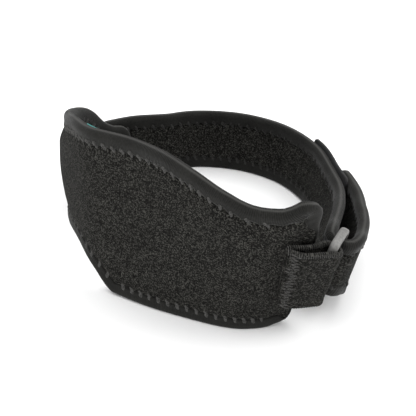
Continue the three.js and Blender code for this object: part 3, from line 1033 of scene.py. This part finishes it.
@dataclass(frozen=True)
class KnittedTape:
    """Smooth edging tape: a fine knit, with ribs that show in places and a painted highlight along its
    fold.
    """

    name: str
    fold: float
    rib: float = 0.6
    relief: float = 0.14
    dark: Colour = (0.006, 0.006, 0.0055)
    light: Colour = (0.019, 0.0188, 0.0172)
    # Colour of the painted highlight along the tape's fold.
    wear_and_highlight: Colour = (0.085, 0.084, 0.08)

    def build(self) -> bpy.types.Material:
        """Make the material."""
        nodes = Nodes(self.name)
        grain = nodes.noise(nodes.scaled_uv(0.6, 0.9), 1.0, 2.0)
        place = nodes.add("ShaderNodeSeparateXYZ", {0: nodes.scaled_uv(self.rib, 1.0)}).outputs
        wave = nodes.math("SINE", nodes.product(place[0], math.tau))
        patch = nodes.noise(nodes.scaled_uv(22.0, 60.0), 1.0, 1.0)
        shown = nodes.remap(patch, From_Min=0.42, From_Max=0.6)
        rib = nodes.product(nodes.product(wave, 0.5), shown)
        cloud = nodes.noise(nodes.scaled_uv(9.0, 9.0), 1.0, 2.0)
        mixed = nodes.math("ADD", nodes.product(rib, 0.3), nodes.product(grain, 0.6))
        shifted = nodes.math("ADD", mixed, nodes.product(cloud, 0.4))
        plain = nodes.ramp(shifted, [(0.25, self.dark), (0.75, self.light)])
        # Painted highlight: the colour turns pale in a thin line along the fold, standing in for light
        # catching the rim.
        from_fold = nodes.math("ABSOLUTE", nodes.math("SUBTRACT", place[1], self.fold))
        edge = nodes.remap(from_fold, From_Min=0.1, From_Max=0.9, To_Min=0.42, To_Max=0.0)
        inputs = {0: edge, 6: plain, 7: (*self.wear_and_highlight, 1)}
        colour = nodes.add("ShaderNodeMix", inputs, data_type="RGBA").outputs[2]
        height = nodes.math("ADD", rib, nodes.product(grain, 0.5))
        return nodes.finish(
            colour,
            0.85,
            nodes.bump(height, self.relief),
            Sheen_Weight=0.11,
            Sheen_Roughness=0.4,
            Specular_IOR_Level=0.08,
        )


@dataclass(frozen=True)
class SewingThread:
    """Soft twisted thread."""

    name: str
    dark: Colour = (0.009, 0.0089, 0.0083)
    light: Colour = (0.03, 0.0295, 0.0278)

    def build(self) -> bpy.types.Material:
        """Make the material."""
        nodes = Nodes(self.name)
        place = nodes.add("ShaderNodeTexCoord").outputs["Object"]
        twist = nodes.noise(place, 1600.0, 1.0)
        colour = nodes.ramp(twist, [(0.3, self.dark), (0.7, self.light)])
        normal = nodes.bump(twist, 0.1)
        return nodes.finish(colour, 0.8, normal, Sheen_Weight=0.03, Specular_IOR_Level=0.2)


@dataclass(frozen=True)
class MouldedPlastic:
    """Satin plastic with a faint orange-peel and fine scuffs."""

    name: str
    colour: Colour = (0.115, 0.114, 0.109)
    # Paler colour of the scuffs: real wear of the plastic.
    wear_and_highlight: Colour = (0.175, 0.173, 0.165)

    def build(self) -> bpy.types.Material:
        """Make the material."""
        nodes = Nodes(self.name)
        place = nodes.add("ShaderNodeTexCoord").outputs["Object"]
        peel = nodes.noise(place, 900.0, 2.0)
        inputs = {"Vector": place, "Scale": (1200.0, 1200.0, 90.0)}
        scuffs = nodes.noise(nodes.add("ShaderNodeMapping", inputs).outputs[0], 1.0, 3.0)
        colour = nodes.ramp(scuffs, [(0.35, self.colour), (0.75, self.wear_and_highlight)])
        rough = nodes.remap(scuffs, To_Min=0.36, To_Max=0.54)
        return nodes.finish(colour, rough, nodes.bump(peel, 0.02), Coat_Weight=0.15, Coat_Roughness=0.2)


@dataclass(frozen=True)
class WovenBacking:
    """Black woven back of hook tape."""

    name: str
    thread: float = 0.45
    dark: Colour = (0.003, 0.003, 0.0035)
    light: Colour = (0.016, 0.016, 0.0175)

    def build(self) -> bpy.types.Material:
        """Make the material."""
        nodes = Nodes(self.name)
        steps = nodes.scaled_uv(self.thread, self.thread)
        parts = nodes.add("ShaderNodeSeparateXYZ", {0: steps})
        waves = [nodes.math("SINE", nodes.product(parts.outputs[k], math.pi)) for k in (0, 1)]
        weave = nodes.math("ADD", nodes.product(nodes.product(*waves), 0.5), 0.5)
        grain = nodes.noise(steps, 0.9, 3.0)
        mixed = nodes.math("ADD", nodes.product(weave, 0.5), nodes.product(grain, 0.5))
        colour = nodes.ramp(mixed, [(0.25, self.dark), (0.8, self.light)])
        return nodes.finish(colour, 0.8, nodes.bump(mixed, 0.15), Sheen_Weight=0.02)


@dataclass(frozen=True)
class PrintedTape:
    """Satin woven tape in one colour."""

    name: str
    dark: Colour = (0.006, 0.16, 0.15)
    light: Colour = (0.03, 0.42, 0.38)

    def build(self) -> bpy.types.Material:
        """Make the material."""
        nodes = Nodes(self.name)
        weave = nodes.noise(nodes.scaled_uv(0.3, 1.2), 1.0, 2.0)
        colour = nodes.ramp(weave, [(0.3, self.dark), (0.7, self.light)])
        return nodes.finish(colour, 0.35, nodes.bump(weave, 0.06), Sheen_Weight=0.1)


@dataclass(frozen=True)
class PaleFloor:
    """Plain white studio floor."""

    name: str
    colour: Colour = (0.97, 0.97, 0.97)

    def build(self) -> bpy.types.Material:
        """Make the material."""
        nodes = Nodes(self.name)
        return nodes.finish((*self.colour, 1), 0.9, None, Specular_IOR_Level=0.1)


@dataclass
class Wardrobe:
    """The finishes of this support, each made once."""

    pile: LoopedPile = LoopedPile("looped pile")
    tape: KnittedTape = KnittedTape("knitted tape", 7.2)
    thread: SewingThread = SewingThread("sewing thread")
    pale_thread: SewingThread = SewingThread(
        "pale thread", (0.016, 0.0157, 0.015), (0.076, 0.0745, 0.071)
    )
    overlock: SewingThread = SewingThread(
        "overlock thread", (0.02, 0.0197, 0.0185), (0.064, 0.063, 0.06)
    )
    plastic: MouldedPlastic = MouldedPlastic("ring plastic")
    backing: WovenBacking = WovenBacking("hook tape back")
    label: PrintedTape = PrintedTape("label tape")
    floor: PaleFloor = PaleFloor("studio floor")
    made: dict[str, bpy.types.Material] = field(default_factory=dict)

    def dress(self, obj: bpy.types.Object, finish: str) -> bpy.types.Object:
        """Give an object one of the finishes.

        Args:
            obj: The object.
            finish: Name of the finish's field.

        Returns:
            The object.
        """
        if finish not in self.made:
            self.made[finish] = getattr(self, finish).build()
        obj.data.materials.clear()
        obj.data.materials.append(self.made[finish])
        return obj


def enter(obj: bpy.types.Object, slot: Slot, *nodes: str) -> None:
    """Let an object ride with the support, in place of the nodes that it stands for."""
    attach(obj, "root")
    if nodes:
        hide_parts(*nodes)
    LOG.info("%s: %d faces", obj.name, len(obj.data.polygons))


@dataclass
class TapedCloth:
    """A neoprene panel faced with pile, its edging tape and the stitches that hold the tape."""

    name: str
    strip: Strip
    thickness: float
    across: int
    up: int
    puff: float = 0.25
    bulge: Field = no_shift
    hem: Field = whole_hem
    pitch: float = 4.1
    lean: float = 1.7
    stitch_in: float = 1.9
    stitch_out: float = 1.6
    points: int = 16
    thread: str = "overlock"
    radius: float = 0.86

    def half(self, depth: np.ndarray) -> np.ndarray:
        """Return half the panel's thickness: thin under the tape, and full past it."""
        width = SIZES.tape_width
        thin = SIZES.edge_thickness / 2
        full = self.thickness / 2
        shoulder = smooth_step(depth, width - 0.8, width + 2.6)
        crown = smooth_step(depth, width, width + 12)
        return thin + (full - thin) * shoulder + self.puff * crown

    def panel(self) -> bpy.types.Object:
        """Make the panel."""

        def offset(d: np.ndarray, h: np.ndarray, depth: np.ndarray, side: np.ndarray) -> np.ndarray:
            free = (1 - self.hem(d, h)) * (SIZES.tape_width + 2.6)
            taped = np.where(side > 0, depth + free, depth)
            wave = 0.12 * np.sin(d / 7.3 + 1.7 * np.sin(h / 11.0)) * smooth_step(depth, 6, 14)
            return side * self.half(taped) + wave + self.bulge(d, h) * smooth_step(depth, 4, 13)

        form = SheetForm(self.across, self.up, offset)
        return make_sheet(f"{self.name}_pile", self.strip, form, SIZES.tape_rim)

    def section(self) -> np.ndarray:
        """Return the tape's section as rows of inset and offset, once round its U."""
        width, outer = SIZES.tape_width, SIZES.tape_half
        inner = SIZES.edge_thickness / 2 + 0.12
        rim = SIZES.tape_rim - 0.2
        side = [
            (width, inner + 0.22),
            (width - 0.25, outer - 0.32),
            (width - 0.9, outer - 0.2),
            (width - 1.7, outer - 0.12),
            (width - 2.6, outer + 0.02),
            (width - 3.5, outer + 0.05),
            (1.35, outer - 0.06),
            (0.72, outer - 0.4),
            (0.26, outer - 1.0),
        ]
        outside = [*side, (0.02, outer - 1.65), *[(a, -b) for a, b in reversed(side)]]
        inside = [(width, -inner), (rim, -inner), (rim, inner), (width, inner)]
        return np.array([*outside, *inside])

    def on_tape(self, d: np.ndarray, h: np.ndarray, inset: np.ndarray, out: np.ndarray) -> np.ndarray:
        """Return how far in a point of the tape lies, where the outer face's hem is narrow."""
        share = self.hem(d, h)
        narrow = inset * (share + (1 - share) * np.exp(-inset / 0.8))
        return np.where(out > 0.3, narrow, inset)

    def room(self) -> np.ndarray:
        """Return 1 where the tape's inner edge runs freely, and 0 where it turns tightly."""
        line = self.strip.outline
        inner = np.stack([line.d, line.h], axis=-1) + line.inward * SIZES.tape_width
        step = np.linalg.norm(np.roll(inner, -1, axis=0) - inner, axis=1)
        return smooth_step(step * len(step) / line.length, 0.5, 0.9)

    def tape(self) -> bpy.types.Object:
        """Make the edging tape, which swells between its stitches."""
        line = self.strip.outline
        room = self.room()
        section = self.section()
        across = distances(section)

        def point(i: np.ndarray, j: np.ndarray) -> np.ndarray:
            inset, out = section[j, 0], section[j, 1]
            near = np.exp(-(((inset - SIZES.tape_width + 1.1) / 1.1) ** 2))
            turn = line.along[i] / self.pitch + 0.18 * np.sign(out)
            wave = room[i] * near * np.cos(math.tau * turn)
            swell = 0.3 * wave
            inset = inset - 0.6 * wave
            inset = self.on_tape(line.d[i], line.h[i], inset, out)
            d = line.d[i] + line.inward[i, 0] * inset
            h = line.h[i] + line.inward[i, 1] * inset
            return self.strip.place(d, h, out - np.sign(out) * (0.1 * near + swell))

        band = make_band(f"{self.name}_tape", len(line.d), len(section), point)
        write_uv(band.obj, line.along[band.i], across[band.j], turn=line.length)
        return band.obj

    def surface(self, inset: np.ndarray, depth: np.ndarray) -> np.ndarray:
        """Return the height of the cloth's face, from an inset on the tape and the depth past it."""
        section = self.section()[:7][::-1]
        on_tape = np.interp(inset, section[:, 0], section[:, 1])
        past = self.half(depth)
        return np.where(inset > SIZES.tape_width + 0.05, past, np.maximum(on_tape, past))

    def stitches(self, side: int) -> bpy.types.Object:
        """Sew one face: thick slanted strokes over the tape's edge, with thin returns between.

        Args:
            side: 1 for the outer face and -1 for the inner.

        Returns:
            The thread.
        """
        line = self.strip.outline
        count = round(line.length / self.pitch)
        step = np.arange(self.points * count)
        pitch = line.length / count
        phase = (step % self.points) / self.points
        stroke = np.clip(phase / 0.6, 0, 1)
        back = np.clip((phase - 0.6) / 0.4, 0, 1)
        along = (step // self.points) * pitch + self.lean * stroke + (pitch - self.lean) * back
        swing = np.where(phase < 0.6, 1 - 2 * stroke, 2 * back - 1)
        inset = SIZES.tape_width + np.where(swing > 0, self.stitch_in, self.stitch_out) * swing
        arch = np.sin(math.pi * stroke) * (phase < 0.6)
        ring = np.append(line.along, line.length)

        def on_line(values: np.ndarray) -> np.ndarray:
            return np.interp(along % line.length, ring, np.append(values, values[0]))

        start_d, start_h = on_line(line.d), on_line(line.h)
        if side > 0:
            inset = self.on_tape(start_d, start_h, inset, np.ones(len(inset)))
        d = start_d + on_line(line.inward[:, 0]) * inset
        h = start_h + on_line(line.inward[:, 1]) * inset
        depth = self.strip.depth(d, h)
        height = self.surface(inset, depth) + 0.14 - self.radius + 0.4 * arch
        raised = self.bulge(d, h) * smooth_step(depth, 4, 13)
        points = self.strip.place(d, h, side * height + raised)
        points[:, 2] = np.maximum(points[:, 2], 0.45)
        end = self.strip.course.length - 2 * SIZES.pad_corner
        shown = 1.0 if side < 0 else 1 - smooth_step(start_d, end, end + 2) * (self.hem is not whole_hem)
        seen = shown * on_line(self.room())
        height = height - 1.2 * (1 - seen)
        thick = (0.3 + 0.7 * np.sqrt(arch)) * seen + 0.02
        face = "outer" if side > 0 else "inner"
        return Thread(self.radius).sew(f"{self.name}_{face}_stitches", points, thick, closed=True)

    def build(self, wardrobe: Wardrobe, panel_node: str, tape_node: str) -> None:
        """Make and dress the cloth, its tape and its threads.

        Args:
            wardrobe: The finishes.
            panel_node: The solid that the panel stands for.
            tape_node: The solid that the tape stands for.
        """
        panel = wardrobe.dress(self.panel(), "pile")
        enter(panel, Slot.PILE, panel_node)
        tape = wardrobe.dress(self.tape(), "tape")
        enter(tape, Slot.TAPE, tape_node)
        for side in (1, -1):
            enter(wardrobe.dress(self.stitches(side), self.thread), Slot.TAPE)
        length, height = self.strip.course.length * MM, float(np.ptp(self.strip.outline.h)) * MM
        self.strip.area * MM**2
        tape_flat = (self.strip.outline.length * MM, 2 * (SIZES.tape_width + 1.2) * MM)


class Support:
    """The whole support: its courses, its cloth and its hardware."""

    def __init__(self, wardrobe: Wardrobe) -> None:
        """Lay out the courses.

        Args:
            wardrobe: The finishes.
        """
        self.wardrobe = wardrobe
        pad_keys = LOOP.keys(0, SIZES.pad_length + SIZES.ear_reach, lambda s: 0.0)
        self.pad_course = Course(pad_keys, SIZES.pad_height)
        self.lay_strap()

    @staticmethod
    def strap_out(s: float) -> float:
        """Return the strap's offset: on the pad, then in line with the loop, then inside the ring."""
        seated = SIZES.strap_seat * smooth_step(s, LOOP.length - SIZES.strap_ease, LOOP.length)
        at_ring = SIZES.strap_bar_out - SIZES.strap_fold
        return seated + at_ring * (1 - smooth_step(s, SIZES.s_ring, SIZES.s_ring + 2 * SIZES.strap_ease))

    @staticmethod
    def tail_out(s: float) -> float:
        """Return the tail's offset: out of the ring, over a bulge and down on the strap."""
        share = (s - SIZES.s_strap_bar) / SIZES.tail_length
        start = SIZES.strap_bar_out + SIZES.strap_fold
        line = start + (2 * SIZES.tab_seat - start) * smooth_step(share, 0, 1)
        return line + SIZES.tail_bulge * math.sin(math.pi * min(1, max(0, share))) ** 2

    @staticmethod
    def eased(keys: list[Key], *spans: tuple[int, int]) -> list[Key]:
        """Even out some of the keys, so that the cloth bends softly there.

        Args:
            keys: The keys in order.
            spans: The first key and the one after the last, for each run to even out.

        Returns:
            The keys, those between the runs unchanged.
        """
        rows = np.array([[*key.foot, *key.rung] for key in keys])
        for start, end in spans:
            for _ in range(4):
                beside = rows[start - 1 : end - 1] + rows[start + 1 : end + 1]
                rows[start:end] = (beside + 2 * rows[start:end]) / 4
        return [Key(row[:3], unit(row[3:]), key.s) for row, key in zip(rows, keys)]

    def lay_strap(self) -> None:
        """Lay the strap's course and its gathered, lifted middle line."""
        bend = SIZES.s_strap_bar + 3 * SIZES.strap_fold
        head = LOOP.keys(LOOP.length + SIZES.strap_overlap, bend, self.strap_out)
        fold = RING_FRAME.round_bar(SIZES.strap_fold, 1)
        tail = LOOP.keys(bend, SIZES.s_tail_end, self.tail_out)
        after = len(head) + len(fold)
        keys = self.eased([*head, *fold, *tail], (len(head) - 5, len(head)), (after, after + 5))
        self.strap_course = Course(keys, SIZES.strap_height)
        places = self.strap_course.distances[:: Course.PER_KEY]
        self.strap_lift = Column(places, [float(LOOP.lift(key.s)) * SIZES.strap_height for key in keys])
        self.fold_distance = float(places[len(head) + len(fold) // 2])

    def strap_strip(self) -> Strip:
        """Return the strap's strip."""

        def near(d: np.ndarray) -> np.ndarray:
            return np.exp(-(((d - self.fold_distance) / SIZES.strap_gather) ** 2))

        def middle(d: np.ndarray) -> np.ndarray:
            plain = self.strap_lift(d) + SIZES.strap_height / 2 - SIZES.pressed
            return plain + (SIZES.ring_middle - plain) * near(d)

        def half(d: np.ndarray) -> np.ndarray:
            return (SIZES.strap_height + (SIZES.strap_gathered - SIZES.strap_height) * near(d)) / 2

        fold = self.fold_distance

        def slack(d: np.ndarray) -> np.ndarray:
            return smooth_step(d, fold - 50, fold - 20) * (1 - smooth_step(d, fold - 10, fold - 4))

        def free(d: np.ndarray) -> np.ndarray:
            return smooth_step(d, fold, fold + 15) * (1 - smooth_step(d, fold + 20, fold + 42))

        def low(d: np.ndarray) -> np.ndarray:
            return middle(d) - half(d) - SIZES.strap_sag * slack(d) - SIZES.tail_sag * free(d)

        def dent(d: np.ndarray, h: np.ndarray) -> np.ndarray:
            upward = smooth_step(h, low(d), low(d) + SIZES.dent_height)
            return SIZES.strap_dent * slack(d) * (1 - upward) + SIZES.tail_reach * free(d)

        return Strip(self.strap_course, lambda d: middle(d) + half(d), low, SIZES.strap_corner, dent)

    def pad_strip(self) -> Strip:
        """Return the pad's strip."""
        top = Column([row.along for row in PAD_ROWS], [row.top for row in PAD_ROWS])
        bottom = Column([row.along for row in PAD_ROWS], [row.bottom for row in PAD_ROWS])
        length = self.pad_course.length
        return Strip(
            self.pad_course,
            lambda d: top(d / length) * SIZES.pad_height,
            lambda d: bottom(d / length) * SIZES.pad_height - SIZES.pressed,
            SIZES.pad_corner,
        )

    def build_pad(self) -> None:
        """Make the pad, its tape and its stitches."""
        strip = self.pad_strip()
        length = self.pad_course.length

        def bulge(d: np.ndarray, h: np.ndarray) -> np.ndarray:
            near = np.exp(-(((d - SIZES.fullness_place) / SIZES.fullness_width) ** 2))
            return SIZES.pad_fullness * near * smooth_step(h, 8, 36)

        def hem(d: np.ndarray, h: np.ndarray) -> np.ndarray:
            at_end = smooth_step(d, length - 5, length - 1.5)
            below_ear = 1 - smooth_step(h, strip.top(d) - 17, strip.top(d) - 9)
            return 1 - (1 - SIZES.narrow_hem) * at_end * below_ear

        TapedCloth("pad", strip, SIZES.pad_thickness, 240, 100, bulge=bulge, hem=hem).build(
            self.wardrobe, "pad_panel", "pad_edging"
        )

    def build_strap(self) -> None:
        """Make the strap, its tape and its stitches."""
        looks = {"puff": 0.15, "thread": "thread", "radius": 0.7}
        cloth = TapedCloth("strap", self.strap_strip(), SIZES.strap_thickness, 420, 40, **looks)
        cloth.build(self.wardrobe, "strap_panel", "strap_edging")

    def build_keeper(self) -> None:
        """Make the folded keeper and the zigzag that sews it down."""
        run = SIZES.s_ring - SIZES.ring_pitch / 2 * math.cos(SIZES.ring_turn) - SIZES.s_seam
        up = SIZES.keeper_bar_out - SIZES.keeper_front
        climb = math.atan2(up, run) + math.asin(SIZES.keeper_fold / math.hypot(up, run))
        rise_back = SIZES.keeper_bar_out - SIZES.keeper_fold - SIZES.keeper_back

        def back(s: float) -> float:
            return SIZES.keeper_back + rise_back * (s - SIZES.s_seam) / run

        def front(s: float) -> float:
            return SIZES.keeper_front + (s - SIZES.s_seam) * math.tan(climb)

        turn = SIZES.ring_turn
        inner = LOOP.keys(SIZES.s_seam, SIZES.s_seam + SIZES.keeper_free * run, back)
        keys = [
            *inner,
            *RING_FRAME.round_bar(SIZES.keeper_fold, -1, turn, math.pi + turn + climb),
            *LOOP.keys(SIZES.s_seam + (1 - SIZES.keeper_free) * run, SIZES.s_seam, front),
        ]
        course = Course(keys, SIZES.keeper_height)
        slot = float(course.distances[:: Course.PER_KEY][len(inner) + 4])

        def near(d: np.ndarray) -> np.ndarray:
            return np.exp(-(((d - slot) / SIZES.keeper_gather) ** 2))

        def middle(d: np.ndarray) -> np.ndarray:
            return SIZES.ring_middle + SIZES.keeper_rise * (1 - near(d))

        def half_height(d: np.ndarray) -> np.ndarray:
            return (SIZES.keeper_height + (SIZES.keeper_gathered - SIZES.keeper_height) * near(d)) / 2

        def top(d: np.ndarray) -> np.ndarray:
            return middle(d) + half_height(d)

        def bottom(d: np.ndarray) -> np.ndarray:
            return middle(d) - half_height(d)

        strip = Strip(course, top, bottom, 1.0)

        def offset(d: np.ndarray, h: np.ndarray, depth: np.ndarray, side: np.ndarray) -> np.ndarray:
            half = SIZES.keeper_thickness / 2
            rim = round_rim(depth, 0.9, 0.02)
            wave = 0.22 * near(d) ** 2 * np.sin((h - SIZES.ring_middle) / 1.9)
            return side * half * rim + wave

        obj = make_sheet("keeper_pile", strip, SheetForm(90, 90, offset))
        enter(self.wardrobe.dress(obj, "pile"), Slot.PILE, "ring_keeper")
        flat = (course.length * MM, float(np.ptp(strip.outline.h)) * MM)
        strip.area * MM**2
        self.sew_keeper(strip)

    def sew_keeper(self, strip: Strip) -> None:
        """Sew the zigzag down the keeper's seam.

        Args:
            strip: The keeper's strip.
        """
        pitch = 0.8
        uneven = np.random.default_rng(5)
        near_end = np.array(strip.course.length - 2.0)
        low, high = float(strip.bottom(near_end)), float(strip.top(near_end))
        turns = int((high - low - 1) / pitch)
        ends = np.arange(turns + 1)
        reach = np.where(ends % 2, 1, -1) * uneven.uniform(0.7, 2.0, turns + 1)
        rise = low + 0.5 + ends * pitch + uneven.uniform(-0.3, 0.3, turns + 1)
        steps = np.arange(5 * turns + 1) / 5
        d = strip.course.length - 2.2 + np.interp(steps, ends, reach)
        h = np.interp(steps, ends, rise)
        height = SIZES.keeper_thickness / 2 + 0.08 + 0.16 * np.abs(np.sin(math.pi * steps))
        points = strip.place(np.minimum(d, strip.course.length), h, -height)
        seam = Thread(0.21).sew("keeper_zigzag", points, np.ones(len(points)))
        enter(self.wardrobe.dress(seam, "pale_thread"), Slot.PILE)
        self.whip_keeper(strip)

    def whip_keeper(self, strip: Strip) -> None:
        """Whip the keeper's upper edge with close stitches that go over it.

        Args:
            strip: The keeper's strip.
        """
        pitch = 0.62
        turns = int(strip.course.length / pitch)
        steps = np.arange(8 * turns + 1)
        angle = steps * math.tau / 8
        d = 0.2 + steps * pitch / 8
        half = SIZES.keeper_thickness / 2 + 0.1
        down = 1.1 - 1.2 * np.cos(angle)
        points = strip.place(d, strip.top(d) - np.maximum(down, -0.1), half * np.sin(angle))
        whip = Thread(0.14).sew("keeper_whipping", points, np.ones(len(points)))
        enter(self.wardrobe.dress(whip, "pale_thread"), Slot.PILE)

    def build_ring(self) -> None:
        """Make the plastic ring with its rounded bars."""
        wide = SIZES.ring_pitch / 2
        tall = (SIZES.ring_height - SIZES.ring_end) / 2
        corner = SIZES.ring_corner - 0.2
        end_share = SIZES.ring_end / SIZES.ring_bar
        quarter = np.linspace(0, math.pi / 2, 10)
        centres = [(wide, tall, 0), (-wide, tall, 1), (-wide, -tall, 2), (wide, -tall, 3)]
        points = np.concatenate(
            [
                np.stack(
                    [
                        x - math.copysign(corner, x) + corner * np.cos(quarter + k * math.pi / 2),
                        y - math.copysign(corner, y) + corner * np.sin(quarter + k * math.pi / 2),
                    ],
                    axis=-1,
                )
                for x, y, k in centres
            ]
        )
        count = 160
        line, _, _ = step_evenly(points, count)
        ahead = np.roll(line, -1, axis=0) - np.roll(line, 1, axis=0)
        outward = unit(np.stack([ahead[:, 1], -ahead[:, 0]], axis=-1))
        angles = np.arange(20) * math.tau / 20
        reach = SIZES.ring_bar / 2
        power = 0.78
        section = np.stack(
            [
                reach * np.sign(np.cos(angles)) * np.abs(np.cos(angles)) ** power,
                reach * np.sign(np.sin(angles)) * np.abs(np.sin(angles)) ** power,
            ],
            axis=-1,
        )
        frame = RING_FRAME

        def point(i: np.ndarray, j: np.ndarray) -> np.ndarray:
            x = line[i, 0] + outward[i, 0] * section[j, 0]
            y = line[i, 1] + outward[i, 1] * section[j, 0] * end_share + SIZES.ring_middle
            thick = section[j, 1]
            flat = frame.foot + x[:, None] * frame.ahead + y[:, None] * frame.rung
            return flat + thick[:, None] * frame.normal

        obj = make_band("ring_plastic", count, len(section), point).obj
        enter(self.wardrobe.dress(obj, "plastic"), Slot.RING, "ring")

    def build_tab(self) -> None:
        """Make the hook tab."""
        sewn = SIZES.s_tail_end - SIZES.tab_overlap

        def out(s: float) -> float:
            return self.tail_out(min(s, SIZES.s_tail_end)) - SIZES.tab_seat

        course = Course(LOOP.keys(sewn, sewn + SIZES.tab_length, out), SIZES.tab_height)
        foot = (SIZES.strap_height - SIZES.tab_height) / 2 + SIZES.tab_rise - SIZES.pressed

        def low(d: np.ndarray) -> np.ndarray:
            return LOOP.lift(sewn + d) * SIZES.strap_height + foot

        strip = Strip(course, lambda d: low(d) + SIZES.tab_height, low, SIZES.tab_corner)

        def offset(d: np.ndarray, h: np.ndarray, depth: np.ndarray, side: np.ndarray) -> np.ndarray:
            rim = round_rim(depth, 0.5, 0.04)
            return side * SIZES.tab_thickness / 2 * rim

        obj = make_sheet("tab_backing", strip, SheetForm(100, 70, offset))
        enter(self.wardrobe.dress(obj, "backing"), Slot.HOOK, "hook_tab")

    def build_label(self) -> None:
        """Make the small label on the pad's inner face."""
        course = self.pad_course
        strip = self.pad_strip()
        start = SIZES.label_place * course.length

        def mark(flat: np.ndarray) -> np.ndarray:
            d = start + (flat[:, 0] + 1) / 2 * SIZES.label_width
            high = strip.top(d) - SIZES.label_drop
            h = high - SIZES.label_height * (1 - (flat[:, 1] + 1) / 2)
            rim = np.clip(np.minimum(1 - abs(flat[:, 0]), 1 - abs(flat[:, 1])) * 12, 0.25, 1)
            thick = np.sign(flat[:, 2]) * SIZES.label_thickness / 2 * rim
            curl = 0.25 * np.cos(flat[:, 0] * math.pi / 2)
            middle = -(SIZES.pad_half + SIZES.gap + SIZES.label_thickness / 2)
            return np.stack([d, h, middle - curl + thick], axis=-1)

        obj = thick_grid(36, 36)
        flat = mark(coordinates(obj))
        settle(obj, "label_cloth", course.place(*flat.T))
        write_uv(obj, flat[:, 0], flat[:, 1])
        enter(self.wardrobe.dress(obj, "label"), Slot.LABEL, "inner_label")


@dataclass
class Studio:
    """Pale floor, soft lights and the camera at the photograph's angle."""

    wardrobe: Wardrobe
    elevation: float = math.radians(33)
    distance: float = 431
    lens: float = 95.19
    target: tuple[float, float, float] = (-1.14, -15.81, 30.0)

    def camera(self) -> None:
        """Place the camera."""
        target = Vector(self.target) * MM
        back = Vector((0, -math.cos(self.elevation), math.sin(self.elevation)))
        data = bpy.data.cameras.new("camera")
        data.sensor_width = 36
        data.lens = self.lens
        data.clip_start = 0.01
        obj = bpy.data.objects.new("camera", data)
        obj.location = target + back * self.distance * MM
        obj.rotation_euler = (-back).to_track_quat("-Z", "Y").to_euler()
        bpy.context.collection.objects.link(obj)
        bpy.context.scene.camera = obj

    def light(self, name: str, place: tuple[float, float, float], size: float, power: float) -> None:
        """Hang a square soft light that looks at the support.

        Args:
            name: Its name.
            place: Its place in metres.
            size: Its side in metres.
            power: Its power in watts.
        """
        data = bpy.data.lights.new(name, "AREA")
        data.size = size
        data.energy = power
        obj = bpy.data.objects.new(name, data)
        obj.location = place
        aim = Vector((0, 0, 0.03)) - Vector(place)
        obj.rotation_euler = aim.to_track_quat("-Z", "Y").to_euler()
        bpy.context.collection.objects.link(obj)

    def build(self) -> None:
        """Make the floor, the lights and the camera."""
        deselect()
        bpy.ops.mesh.primitive_plane_add(size=8)
        floor = bpy.context.active_object
        floor.name = "studio_floor"
        self.wardrobe.dress(floor, "floor")
        self.light("soft_top", (-0.1, 0.0, 1.2), 1.9, 24)
        self.light("soft_front", (-0.6, -1.1, 0.16), 0.5, 10)
        self.light("soft_right", (0.95, 0.0, 0.6), 0.7, 7)
        world = bpy.data.worlds.new("studio")
        world.use_nodes = True
        world.node_tree.nodes["Background"].inputs[0].default_value = (1, 1, 1, 1)
        world.node_tree.nodes["Background"].inputs[1].default_value = 0.4
        bpy.context.scene.world = world
        bpy.context.scene.view_settings.view_transform = "Standard"
        self.camera()


def main() -> None:
    """Dress the support and set its stage."""
    logging.basicConfig(level=logging.INFO, format="%(message)s")
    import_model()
    wardrobe = Wardrobe()
    studio = Studio(wardrobe)
    studio.build()
    support = Support(wardrobe)
    support.build_pad()
    support.build_strap()
    support.build_keeper()
    support.build_ring()
    support.build_tab()
    support.build_label()


if __name__ == "__main__":
    main()
